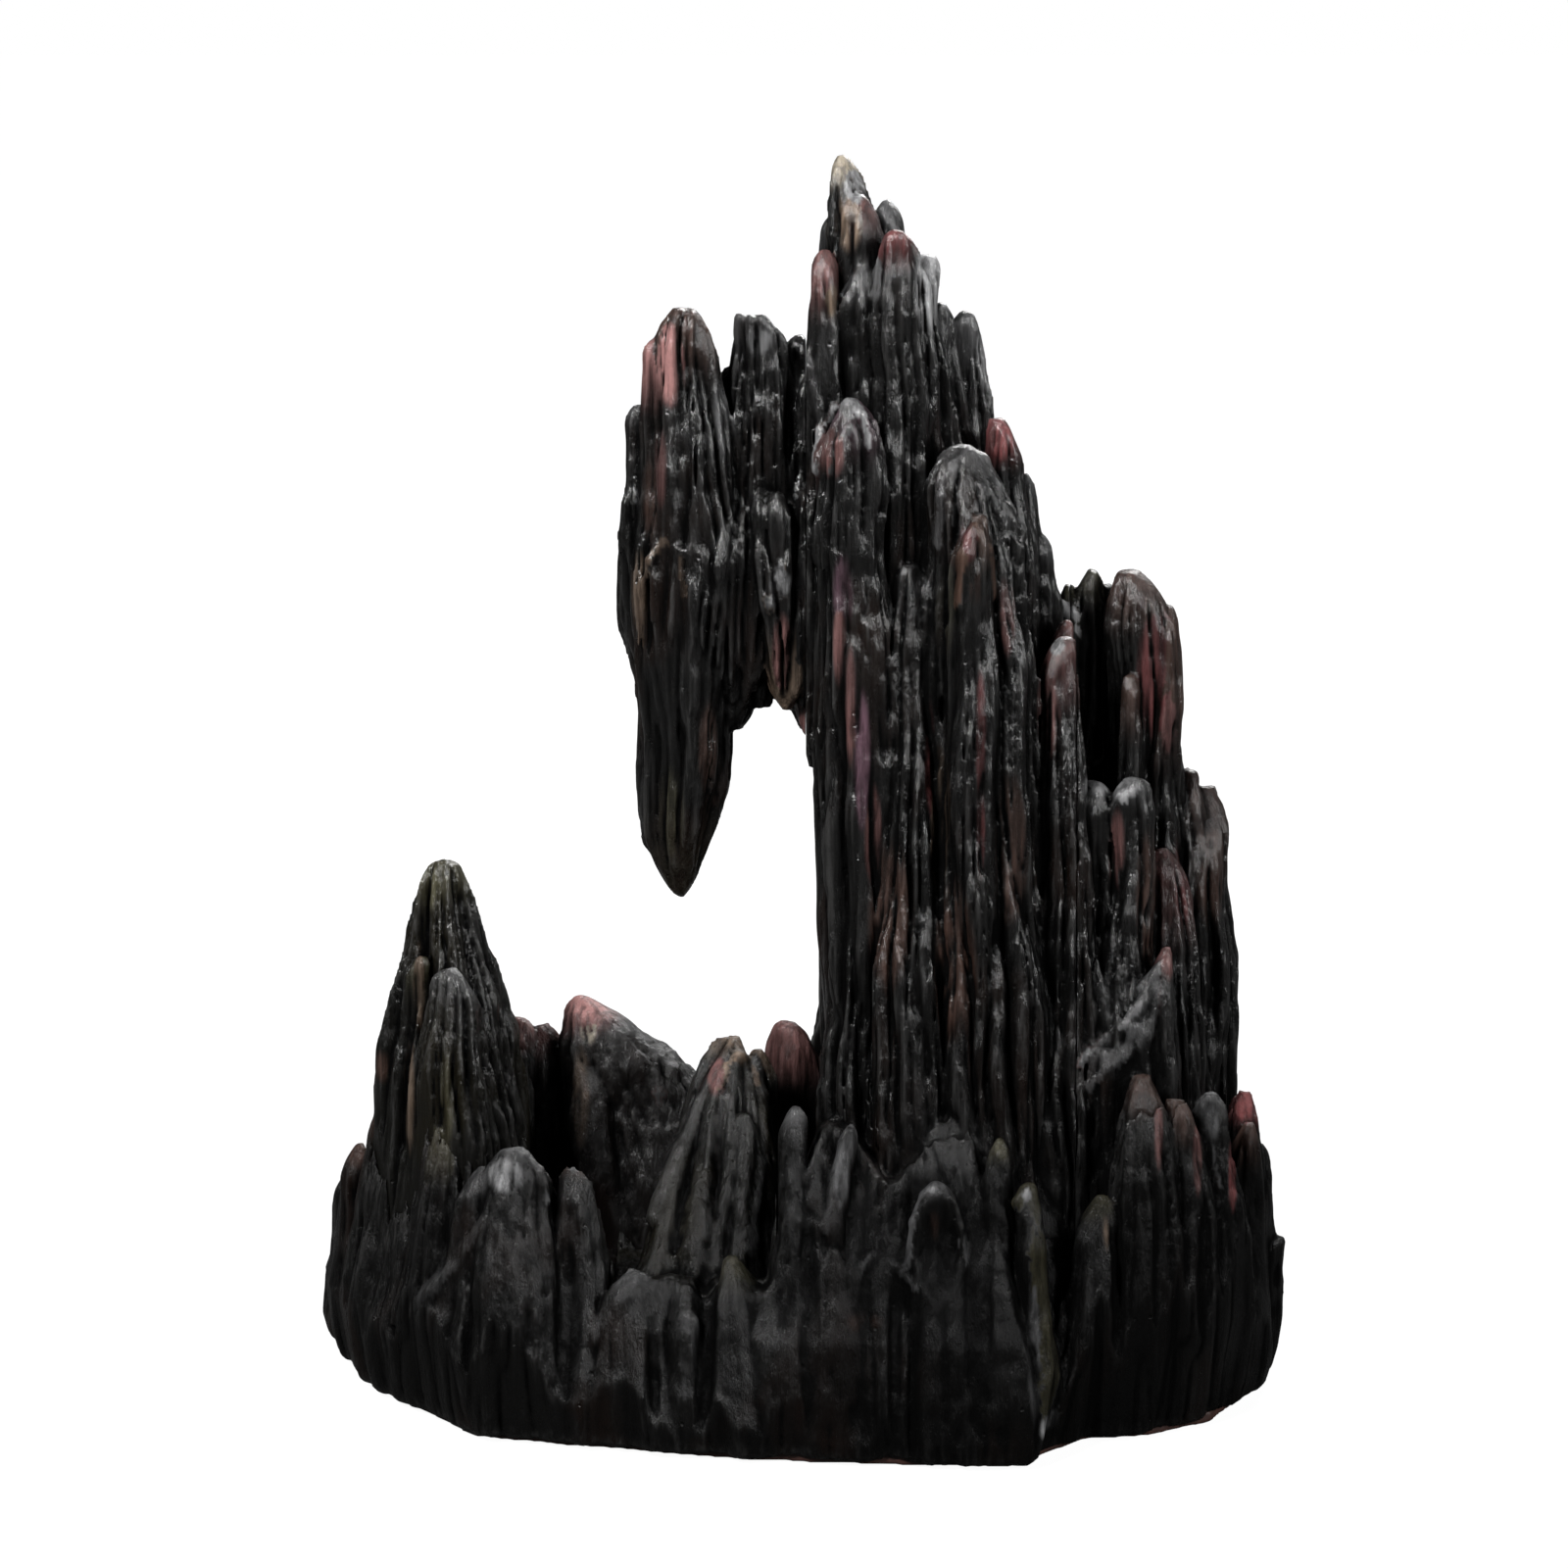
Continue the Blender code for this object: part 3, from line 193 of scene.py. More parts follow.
    "base_casting": """
    -51 -39 0  -50.2 -32.0 52.4  13 12.5  4.8 3.2  grey 0.5 5  1  blunt=1.3 flute=0.5 fold=1.0
    -67 -33 0  -59.5 -30.0 37  12 11  2.4 2.2  grey 0.2 6  0  flute=0.5
    -39.5 -42 0  -39.4 -29.5 51.8  7.2 9.5  3.0 2.7  brown 0.6 7  0  flute=0.4
    -28 -45 0  -30.3 -39.5 31.4  10.5 9  3.4 2.4  grey 0.4 5  0  flute=0.5 blunt=1.4
    -11 -47 0  -11.0 -40.5 34.8  10 9  2.2 1.9  olive 0.25 8  0  flute=0.5
    -2 -46 0  -1.0 -33.5 60.4  4.8 9  2.2 2.0  grey 0.4 6  0  flute=0.4
    9 -46 0  14 -42.0 37.4  13 9  4.6 2.4  grey 0.35 5  0  flute=0.4 fold=0.6
    3 -46 8  8.6 -36.0 58.2  4.2 7  1.5 1.6  grey 0.4 9  0  flute=0.5
    23.6 -45.5 0  23.7 -43.0 49.4  8.5 9  3.8 2.8  grey 0.35 4  0  blunt=2.0 flute=0.3 slant=0.3 dome=1.0
    34.0 -46 0  34.6 -39.0 56.4  8 8  2.0 1.9  olive 0.35 6  0  flute=0.5
    42.5 -48.5 0  40.0 -43.0 48.4  3.6 6.0  2.2 2.0  white 0.3 4  0  flute=0.5
    44.4 -50.5 0  44.4 -49.5 10  6.0 4.5  3.4 2.8  grey 0.3 5  0  flute=0.4
    51 -44.0 0  52.6 -37.5 44.8  10 8.5  2.4 1.8  olive 0.2 6  0  flute=0.6 slant=1.6
    60 -41 0  61.0 -32.5 65.4  11 9.5  3.2 2.2  brown 0.5 9  1  flute=0.7 slant=1.6 full=1.0
    69 -36 0  68.0 -29.0 60.0  10 8.5  3.0 2.2  brown 0.5 10  1  flute=0.7 slant=1.6 full=1.0
    75 -30 0  73.2 -25.5 60.5  9 8.5  2.8 2.2  grey 0.3 6  1  flute=0.8 slant=1.6
    78 -26 0  75.8 -26 50.0  6 6.5  2.1 2.1  brown 0.7 12  1  slant=1.6
    81 -17 0  80.4 -17 52  6 8  2.5 2.7  brown 0.5 10  2  slant=1.6
    83 -10 0  81.2 -12 56.0  5.5 7  2.5 2.5  red 0.6 8  1
    84 -6 0  84.2 -9 44.5  4.5 7  2.2 2.4  none 0 1  1
    85.0 -3 0  86.0 -8 26.5  5.0 9  2.8 4.4  none 0 1  1  blunt=1.2
    82 12 0  83.2 10 44  6 9  2.5 2.9  none 0 1  2
    76 26 0  75.5 25.5 50  8 8  2.9 2.9  grey 0.3 8  3
    60 36 0  60 32.5 62  11 9  3.2 2.9  pink 0.5 9  4
    42 40 0  42 36 74  10 9  3.0 2.7  grey 0.3 10  4
    26 42 0  25 37 86  10 9  3.2 2.9  tan 0.4 10  4
    8 42 0  9 37 66  11 9  3.2 2.9  grey 0.3 10  4
    -10 42 0  -9 37 40  10 9  3.4 3.1  none 0 1  3
    -28 40 0  -28 35 37  11 9  3.4 3.1  none 0 1  3
    -46 38 0  -45.5 33 42  10 9  3.2 2.9  pink 0.4 8  3
    -63 32 0  -63 28 44  10 9  3.2 2.9  none 0 1  3
    -78 24 0  -77 22 38  9 9  2.9 2.9  none 0 1  3
    -86 11 0  -85.4 8 34  4.5 8  2.3 2.7  none 0 1  2
    -85 1 0  -82.2 -2 43.0  5.5 7.5  2.4 2.5  brown 0.7 5  1
    -82 -8 0  -76.4 -8 50  6 7  2.2 2.2  brown 0.6 6  2
    -79 -15 0  -74.5 -13 44  6.5 6.5  2.3 2.3  none 0 1  2
    -73.5 -23 0  -68.5 -18 52  7 7  2.2 2.1  none 0 1  2
    -68 -30 0  -63.5 -26 54  7 7  2.1 2.1  olive 0.3 12  2
    -61 -37 0  -57.0 -31 48  7.5 7  2.2 2.1  grey 0.3 8  2""",
}

# ------------------------------------------------------------------ relief
# Soft hollows in the front: centre x y z, half-size x y z, depth
DIMPLES = [
    (24.2, -47, 38.5, 4.2, 8, 9.5, 2.6), (-17.0, -46, 22.0, 2.4, 14, 24, 2.4),
    (-41.0, -46, 30.0, 2.8, 14, 26, 2.0), (1.5, -47, 24.0, 2.2, 12, 26, 1.8),
    (31.0, -48, 24.0, 2.6, 12, 26, 1.6), (48.0, -46, 22.0, 2.4, 12, 26, 0.9),
    (64.0, -42, 24.0, 2.4, 12, 26, 1.6), (-58.0, -42, 16.0, 2.2, 12, 18, 1.4),
    (16.5, -48, 18.0, 1.6, 12, 18, 1.6), (56.0, -44, 20.0, 1.6, 12, 22, 1.6),
    (-26.0, -46, 12.0, 1.6, 12, 16, 1.4), (72.0, -38, 22.0, 1.8, 12, 24, 1.6),
    (-48.0, -44, 14.0, 1.6, 12, 16, 1.2),
]
# Raised ribs on the front face, separated by commas: paint kind and strength
# ("keep" leaves the paint below), radius at start and end, sink into the face
# as a share of the radius, then x z points along the rib.
FRONT_BEADS = """
    grey 0.35  0.9 0.7  0.7  19.1 35.2  19.7 42.5  21.4 47.0  23.6 48.6  26.2 46.0
        27.9 41.6  29.2 34.2,
    olive 0.25  1.4 2.3  0.45  38.0 45.8  40.0 47.6  40.9 37.8  41.7 25.1  42.9 14.1  44.6 6.8,
    grey 0.16  1.0 2.2  0.75  -14.1 62.0  -18.1 55.8  -21.1 47.8  -25.9 36.8  -30.8 27.6
        -35.8 20.2,
    grey 0.16  0.9 2.0  0.75  -11.5 63.0  -13.6 56.6  -15.0 47.8  -17.5 35.0  -19.6 23.9
        -20.6 12.0,
    grey 0.16  0.9 1.6  0.75  -8.1 62.0  -7.2 55.8  -7.8 45.9  -9.5 33.1,
    tan 0.8  0.8 0.8  0.3  -14.8 58.6  -13.4 61.6  -11.2 62.8  -9.2 61.4  -8.2 57.6,
    grey 0.16  0.9 1.8  0.8  -55.8 40.0  -58.8 34.2  -61.6 30.5  -65.6 25.9  -69.5 22.2
        -71.8 16.6,
    grey 0.4  0.8 0.7  0.6  -56.4 44.2  -53.8 49.0  -49.5 51.2  -46.1 48.7  -44.8 43.3,
    grey 0.16  1.4 0.9  0.6  4.9 40.4  6.1 48.5  8.3 57.0,
    grey 0.16  0.8 0.6  0.7  9.1 32.4  12.5 36.0  16.8 34.6  20.3 31.4,
    grey 0.35  0.8 0.7  0.3  67.1 65.6  70.2 60.1  73.5 51.1  74.5 44.7,
    keep 0  1.0 0.7  0.3  -44.0 14.0  -45.5 26.0  -46.0 38.0"""
# the white ribs are painted highlights along a lit spire rim and two bright ledges
TOWER_BEADS = """
    grey 0.6  0.7 0.7  0.3  24.1 157.7  24.7 166.3  26.7 171.5  29.4 173.6  32.5 172.0
        34.6 167.4  36.1 159.1,
    grey 0.6  0.6 0.6  0.3  26.8 161.9  27.6 167.0  29.5 169.6  31.7 168.0  32.8 163.4,
    grey 0.6  0.5 0.5  0.3  28.7 163.2  30.4 165.6  32.1 162.9,
    orange 0.5  0.8 0.8  0.3  27.6 148.5  28.4 157.0  30.2 161.4  32.3 158.0  33.4 149.5,
    white 0.6  0.8 0.7  0.3  2.8 170.6  3.5 176.8  5.5 180.5  8.2 182.2  10.9 180.6  11.9 175.8,
    grey 0.6  0.6 0.6  0.3  5.3 170.6  6.5 175.8  8.7 178.5  10.4 174.8,
    grey 0.7  0.8 0.7  0.3  49.4 66.4  52.0 68.3  55.4 70.6  58.0 72.8  60.5 76.4  61.6 81.8,
    grey 0.3  0.7 0.6  0.3  51.4 62.0  54.5 65.6  58.5 67.5  62.0 71.5,
    white 0.6  0.8 0.7  0.3  48.9 112.6  51.4 113.8  54.5 114.4  57.7 112.2  59.9 113.6,
    white 0.6  0.9 0.8  0.3  43.2 148.1  46.8 145.0  49.4 141.0  50.3 138.1"""
OVERHANG_BEADS = """
    tan 0.35  0.8 0.7  0.3  -28.7 138.5  -28.1 148.3  -26.8 154.3  -24.0 158.0  -21.6 156.0
        -20.6 148.8,
    grey 0.6  0.8 0.6  0.3  -5.5 146.7  -5.0 151.7  -3.4 153.6  -1.7 150.6"""

# ------------------------------------------------------------------ paint
# white stands for painted highlights where edges and tips catch the light; the other kinds are paint
PAINT = {
    "pink": (0.20, 0.094, 0.088), "red": (0.17, 0.052, 0.052), "rose": (0.33, 0.165, 0.155),
    "mauve": (0.140, 0.075, 0.100), "tan": (0.22, 0.155, 0.11), "cream": (0.46, 0.40, 0.31),
    "grey": (0.13, 0.13, 0.133), "olive": (0.085, 0.078, 0.045), "white": (0.36, 0.36, 0.365),
    "brown": (0.070, 0.038, 0.029), "orange": (0.13, 0.070, 0.048),
}
# Listed dabs, separated by commas: kind strength, centre x y z, half-size x y z
# white dabs are painted highlights on lit edges, tips and ledges
STROKES = {
    "main_tower": """
    mauve 0.55  7.4 -22 150  2.2 9 8, pink 0.7  6.9 -22 141  1.5 9 9,
    pink 0.65  8.8 -22 130  1.1 9 12, mauve 0.8  11.0 -22 120  1.7 9 14,
    pink 0.6  12.8 -22 107  1.8 9 10, pink 0.75  5.0 -20 174.6  3.2 9 6,
    white 0.5  8.8 -17 182  3.6 6 3, red 0.4  22.9 -26 122  1.2 9 14,
    red 0.4  31.5 -26 126  1.1 9 13, red 0.35  31.6 -26 108  1.0 9 10,
    red 0.55  29.5 -25 160  2.6 7 5, tan 0.6  30.4 -14 178  3.0 7 3,
    red 1.2  35.8 -8 175.5  2.8 9 5, tan 0.85  8.6 -2 213  2.8 7 6,
    tan 0.7  5.6 -8 200  1.8 6 4, pink 0.8  4.0 -7 204  2.6 7 4.5,
    white 1.3  22.2 -4 201.5  3.4 8 10, white 0.9  9.6 0 219  2.4 6 4.5,
    white 0.55  12.6 -8 204  2.2 6 5, white 0.6  47.4 -8 143.4  3.6 6 3.6,
    white 0.5  45.0 -16 140  3.0 6 3.4, pink 0.5  44.0 -18 129  2.4 7 10,
    brown 0.7  16.0 -26 92  4.5 9 16, brown 0.7  27.5 -28 84  4.5 9 18,
    brown 0.6  37.0 -24 104  3.5 9 16, olive 0.25  24.0 -26 150  4.0 9 18,
    pink 0.35  36 -22 146  2.4 7 8, tan 0.3  24.5 -26 112  2.0 8 16,
    brown 0.6  29.6 -27 70  2.6 8 16""",
    "right_tower": """
    red 0.5  64.6 -2 133  4.4 9 15, pink 0.5  66.6 -2 124  2.0 9 8,
    white 0.6  54.7 -18 114.4  5.6 6 3, pink 0.6  56.5 -20 103  1.8 7 9,
    red 0.35  69.1 -12 98  2.6 8 13, pink 0.6  65.4 -24 84.6  1.8 6 4.5,
    brown 0.5  62.5 -18 94  3.2 8 14, brown 0.6  75.0 -4 96  4 9 12""",
    "overhang_block": """
    rose 1.5  -22.8 -8 189  2.9 8 9, white 0.5  -21.8 -8 195.0  2 5 2.0,
    tan 0.45  -28.4 -6 148  2.0 8 9, brown 0.5  -26.5 -6 164  2.0 8 9,
    grey 0.6  -13.6 -8 179  2.6 7 8, pink 0.75  -3.2 -14 137  2.2 9 9,
    white 0.6  -3.6 -12 150.6  2.4 7 3.2, pink 0.6  0.4 -10 122.5  1.6 9 5,
    brown 0.6  -16.5 -12 120  2.0 9 10, pink 0.35  -24.5 -8 170  1.6 7 9,
    white 0.4  -7.4 -6 192.5  3 5 3, olive 0.3  -23 -10 108  3 9 10""",
    "left_peak": """
    olive 0.9  -66.5 -8 94  2.6 8 5, tan 0.4  -68.8 -16 78  1.4 8 10,
    brown 0.7  -76.0 -8 61  2.4 9 4, tan 0.4  -70.5 -20 58  1.6 9 12,
    olive 0.4  -63.0 -28 60  1.6 9 10""",
    # the white dabs on this slab's right edge are a painted highlight of a lit edge
    "rear_slab": "white 1.1  34.0 12 188  2.6 12 9, white 0.9  38.0 12 176  2.0 12 8",
    "rear_wall": """
    pink 0.9  -54.4 14 60.6  3 8 3.6, pink 1.0  -42.0 13 64.8  2.6 6 3,
    cream 0.6  -39.6 12 62  2.2 6 4, pink 0.5  -27.8 0 51  1.8 6 4,
    tan 0.3  -41.0 6 50  2.0 8 12, white 0.25  -52.5 12 53  3 8 4""",
    "ridge_stone": """
    tan 0.8  -10.6 -11 65  3.2 6 2.8, pink 0.9  -15.0 -15 60  2.2 6 4,
    tan 0.5  -22.4 -34 49  1.4 8 8, grey 0.5  -16.5 -30 52  1.8 8 6""",
    "egg_stone": "pink 0.7  -2.6 2 62  3.6 6 5, tan 0.5  1.4 2 62.6  2 5 3.5",
    "base_casting": """
    white 0.7  -52.6 -38 48.5  5.2 7 3.6, white 0.4  -40.4 -33 50  1.6 5 3,
    brown 0.8  -38.4 -36 50.4  1.8 5 2.4, tan 0.5  -22.4 -40 46  1.6 8 7,
    grey 0.6  7.1 -40 50  1.8 8 7, white 0.6  22.6 -48 48.6  3.0 6 1.6,
    brown 0.8  23.4 -50 42  3 6 6, olive 0.5  35.3 -43 55  2.2 6 3,
    white 0.5  39.6 -48 47.6  1.6 6 2.2, grey 0.4  40.8 -53 26  1.6 6 20,
    white 0.7  44.4 -54 7.6  3 6 3.4, brown 0.5  11 -53 26  5 6 3,
    tan 0.35  53.9 -44 40  0.9 6 5, pink 0.45  63.2 -38 58  1.0 8 9,
    pink 0.5  70.6 -34 52  1.1 8 9, grey 0.5  73.4 -31 56  1.8 6 5,
    red 0.5  77.2 -30 46  1.0 8 7, red 0.9  81 -14 54  2.4 7 3.6,
    brown 0.7  -82 -4 42  2.6 6 3.4""",
}
# A field's paint is (kind, strength, reach, centre); this one covers without colour.
BARE = ("none", 0, 1, None)


def entries(text):
    """Read comma-separated entries, each a word and its numbers."""
    for entry in filter(None, text.split(",")):
        kind, *numbers = entry.split()
        yield kind, [float(number) for number in numbers]


# ------------------------------------------------------------------ noise
lattice = np.random.RandomState(20).rand(LATTICE, LATTICE, LATTICE).astype(np.float32) * 2.0 - 1.0


def noise(x, y, z):
    """Smooth value noise in -1..1 on a repeating random lattice."""
    low, high, part = [], [], []
    for value in (x, y, z):
        value = np.asarray(value, np.float32)
        cell = np.floor(value)
        rest = value - cell
        part.append(rest * rest * (3.0 - 2.0 * rest))
        low.append(cell.astype(np.int32) % LATTICE)
        high.append((low[-1] + 1) % LATTICE)

    def lerp(start, end, share):
        return start * (1 - share) + end * share

    def edge(row, layer):
        return lerp(lattice[low[0], row, layer], lattice[high[0], row, layer], part[0])

    bottom, top = (lerp(edge(low[1], layer), edge(high[1], layer), part[1])
                   for layer in (low[2], high[2]))
    return lerp(bottom, top, part[2])


def furrow(value):
    """Rounded ridges with narrow grooves, from a signed noise."""
    return np.minimum(np.abs(value) * 2.1, 1.0) ** 0.72 - 0.55


def smooth(start, end, value):
    share = np.clip((value - start) / (end - start), 0.0, 1.0)
    return share * share * (3.0 - 2.0 * share)


# ------------------------------------------------------------------ field
class Field:
    """A distance-like grid, with the paint that owns each point and its height in its spire."""

    def __init__(self, low, high, step=STEP):
        self.step = np.array([step[0], step[0], step[1]], np.float32)
        self.low = np.array(low, np.float32)
        size = [int(math.ceil((high[i] - low[i]) / self.step[i])) + 1 for i in range(3)]
        self.x, self.y, self.z = (
            self.low[i] + self.step[i] * np.arange(size[i], dtype=np.float32) for i in range(3))
        self.dist = np.full(size, 6.0, np.float32)
        self.owner = np.zeros(size, np.uint16)
        self.rise = np.zeros(size, np.uint8)
        self.paints = [None]

    def window(self, low, high):
        """Slices that cover a box, with a point to spare."""
        out = []
        for i, axis in enumerate((self.x, self.y, self.z)):
            start = int(np.searchsorted(axis, low[i]))
            end = int(np.searchsorted(axis, high[i]))
            out.append(slice(max(0, start - 1), min(len(axis), end + 1)))
        return tuple(out)

    def axes(self, win=(slice(None),) * 3):
        """Coordinates shaped to broadcast against the grid."""
        return self.x[win[0]][:, None, None], self.y[win[1]][:, None], self.z[win[2]]

    def add(self, win, dist, paint=None, blend=0.5, rise=0):
        """Union with a slightly soft crease."""
        old = self.dist[win]
        front = dist < old
        if paint is not None:
            self.paints.append(paint)
            self.owner[win][front] = len(self.paints) - 1
        np.copyto(self.rise[win], rise, where=front, casting="unsafe")
        overlap = np.clip(blend - np.abs(old - dist), 0.0, None)
        np.minimum(old, dist, out=old)
        old -= overlap * overlap * (0.25 / blend)

    def keep(self, dist):
        """Keep only the rock where dist is negative."""
        np.maximum(self.dist, dist, out=self.dist)

    def cut(self, dist):
        """Take away the rock where dist is negative."""
        self.keep(-dist)

    def crop(self, low, high):
        """A copy of part of the field, so that a casting can be cut from it."""
        win = self.window(low, high)
        out = copy.copy(self)
        out.x, out.y, out.z = self.x[win[0]], self.y[win[1]], self.z[win[2]]
        out.low = np.array([out.x[0], out.y[0], out.z[0]], np.float32)
        out.dist = self.dist[win].copy()
        out.owner = self.owner[win]
        out.rise = self.rise[win]
        return out

    def sample(self, points):
        """Distance at any points, blended between grid points."""
        place = (points - self.low) / self.step
        place = np.clip(place, 0.0, np.array(self.dist.shape) - 1.001)
        cell = place.astype(np.int32)
        part = (place - cell).astype(np.float32)
        out = np.zeros(len(points), np.float32)
        for corner in CORNERS:
            share = [part[:, i] if corner[i] else 1 - part[:, i] for i in range(3)]
            out += (share[0] * share[1] * share[2]
                    * self.dist[tuple(cell[:, i] + corner[i] for i in range(3))])
        return out

    def owners(self, points):
        """Paint index at the grid point nearest to each point."""
        place = np.rint((points - self.low) / self.step).astype(np.int32)
        place = np.clip(place, 0, np.array(self.dist.shape) - 1)
        return self.owner[place[:, 0], place[:, 1], place[:, 2]]


# ------------------------------------------------------------------ growing rock
def flutes(rng, across, back, z, closing, local, middle, flute, fold):
    """How far flutes push a spire's surface out; across and back are its unit direction."""
    coarse = float(np.clip(middle * 0.36, 1.5, 5.5))
    fine = float(np.clip(middle * 0.80, 2.8, 12.0))
    shift = rng.uniform(0, 40, 9)
    sway = 0.30 * noise(z / 19.0 + shift[6], shift[7], across * 1.5)
    broad = noise(across * coarse + shift[0] + sway, back * coarse + shift[1],
                  z / 62.0 + shift[2])
    narrow = noise(across * fine + shift[3] + sway, back * fine + shift[4] - sway,
                   z / 38.0 + shift[5])
    # shallow near the ground and over the closing tip
    calm = np.interp(z, [0.0, 30.0, 62.0], [0.22, 0.40, 1.0])
    calm = calm * (1.0 - 0.75 * smooth(0.15, 0.95, closing))
    broad_depth = np.clip(local * 0.33, 0.35, 2.5) * flute * (0.25 + 0.75 * calm)
    narrow_depth = np.clip(local * 0.20, 0.30, 1.25) * flute * calm
    push = broad_depth * furrow(broad) + narrow_depth * furrow(narrow)
    if fold:
        drape = noise(across * 1.5 + shift[8], back * 1.5 + shift[0], z / 90.0 + shift[1])
        push += fold * np.clip(local / 8.0, 0.25, 1.2) * furrow(drape)
    return push


def spire(field, foot, tip, wide, narrow, paint, seed, flute=1.0, full=1.25, blunt=1.9,
          blend=0.5, fold=0.0, fade=None, slant=None, dome=0.0):
    """Add one fluted rock spire; its flutes run up and close over the tip.

    flute and fold are depths of fine and broad fluting, full the power of the
    taper, blunt and dome the roundness of the tip, slant the tilt of the tip,
    and fade = (height, rate) withdraws the rock above a height.
    """
    rng = np.random.RandomState(seed)
    foot, tip = np.array(foot, np.float32), np.array(tip, np.float32)
    span = float(tip[2] - foot[2])
    length = abs(span)
    margin = 2.6 + fold
    low = np.minimum(foot - [wide[0], wide[1], 0], tip - [narrow[0], narrow[1], 0]) - margin
    high = np.maximum(foot + [wide[0], wide[1], 0], tip + [narrow[0], narrow[1], 0]) + margin
    win = field.window(low, high)
    x, y, z = field.axes(win)
    if not (len(x) and len(y) and len(z)):
        return
    along = (z - foot[2]) / span
    inside = np.clip(along, 0.0, 1.0)
    wobble = (0.35 * np.sin(z / 9.0 + rng.uniform(0, 6))
              + 0.25 * np.sin(z / 4.1 + rng.uniform(0, 6)))
    wobble = wobble * np.clip(min(narrow) / 3.0, 0.3, 1.0)
    centre_x = foot[0] + (tip[0] - foot[0]) * inside + wobble
    centre_y = foot[1] + (tip[1] - foot[1]) * inside + wobble * 0.5
    taper = inside ** full
    radius_x = wide[0] + (narrow[0] - wide[0]) * taper
    radius_y = wide[1] + (narrow[1] - wide[1]) * taper
    rounding = min(0.40, blunt * narrow[0] / length)
    radius = np.minimum(radius_x, radius_y)
    across = (x - centre_x) / radius_x
    back = (y - centre_y) / radius_y
    rho = np.sqrt(across * across + back * back) + 1e-6
    if slant is None:
        slant = rng.uniform(0.5, 1.5)
    turn = rng.uniform(0.0, 2.0 * np.pi)
    tilt = (across * math.cos(turn) + back * math.sin(turn)) * (slant * min(narrow) / length)
    closing = np.clip((along + np.clip(tilt, -rounding, rounding) - (1 - rounding)) / rounding,
                      0.0, 1.0).astype(np.float32)
    close = (1.0 - closing ** (1.8 + 0.4 * dome)) ** (0.60 - 0.12 * dome)
    if foot[2] > 55.0:      # feet up in the air are drawn in as well
        draw = np.clip((0.38 - along) / 0.38, 0.0, 1.0)
        close = close * (1.0 - 0.72 * draw * draw)
    dist = (rho - close) * radius
    beyond = np.maximum((along - 1.0) * length, 0.0) + np.maximum(-along * length, 0.0)
    dist = np.where(beyond > 0, np.sqrt(np.maximum(dist, 0.0) ** 2 + beyond ** 2), dist)
    near = np.nonzero(np.abs(dist) < (FLUTE_BAND + fold))
    if len(near[0]):
        dist[near] -= flutes(
            rng, across[near[0], 0, near[2]] / rho[near], back[near[1], near[2]] / rho[near],
            z[near[2]], closing[near], radius[near[2]] * np.clip(close[near], 0.35, 1.0),
            0.5 * (min(wide) + min(narrow)), flute, fold)
    if fade:
        dist += np.maximum(z - fade[0], 0.0) * fade[1]
    field.add(win, dist, paint, blend, (inside * 255).astype(np.uint8))


def ribs_on(field, foot, tip, wide, narrow, count, seed, paint, fade):
    """Nested lesser spires lying against a big one, mostly on its front."""
    rng = random.Random(seed)
    foot, tip = np.array(foot, float), np.array(tip, float)
    span = tip - foot
    length = abs(span[2])

    def radii(share):
        taper = share ** 1.25
        return [wide[i] + (narrow[i] - wide[i]) * taper for i in (0, 1)]

    for i in range(count):
        if rng.random() < 0.6:
            angle = rng.uniform(math.radians(190), math.radians(350))
        else:
            angle = rng.uniform(0, 2 * math.pi)
        end = rng.uniform(0.30, 0.93)
        start = max(0.0, end - rng.uniform(25, 60) / length)
        size = rng.uniform(0.24, 0.42)
        knob = rng.random() < 0.16 and end > 0.5
        # shares of the big spire's radius: how far out the tip lies, its widths x y
        reach, share_x, share_y = (0.82, 0.58, 0.50) if knob else (0.66, 0.30, 0.42)
        low, high = radii(start), radii(end)
        rib_foot = foot + span * start + [math.cos(angle) * low[0] * 0.66,
                                          math.sin(angle) * low[1] * 0.66, 0]
        rib_tip = foot + span * end + [math.cos(angle) * high[0] * reach,
                                       math.sin(angle) * high[1] * reach, 0]
        rib_wide = (max(1.8, low[0] * size * 1.3), max(1.6, low[1] * size * 1.2))
        rib_narrow = (max(0.8, high[0] * size * share_x), max(0.8, high[1] * size * share_y))
        if paint[0] != "none" and end > 0.6:
            coat = (paint[0], paint[1] * 0.7, paint[2] * 0.7, paint[3])
        else:
            coat = (rng.choice(["grey", "brown", "grey", "pink", "none"]),
                    rng.uniform(0.1, 0.3), rng.uniform(3, 8), np.array(rib_tip, np.float32))
        spire(field, rib_foot, rib_tip, rib_wide, rib_narrow, coat, seed * 3 + i, flute=0.8,
              blend=0.9, fade=fade)


def grow(field, name, fade=None):
    """Add all the spires of a casting, with their ribs."""
    seed = list(SPIRES).index(name) + 1
    for row, line in enumerate(SPIRES[name].strip().splitlines()):
        words = line.split()
        values = [float(word) for word in words[:10]]
        shape = values[:3], values[3:6], values[6:8], values[8:]
        paint = (words[10], float(words[11]), float(words[12]), np.array(shape[1], np.float32))
        extra = {key: float(value) for key, value in (word.split("=") for word in words[14:])}
        spire(field, *shape, paint, seed * 100 + row, fade=fade, **extra)
        ribs_on(field, *shape, int(words[13]), seed * 1000 + row * 7, paint, fade)


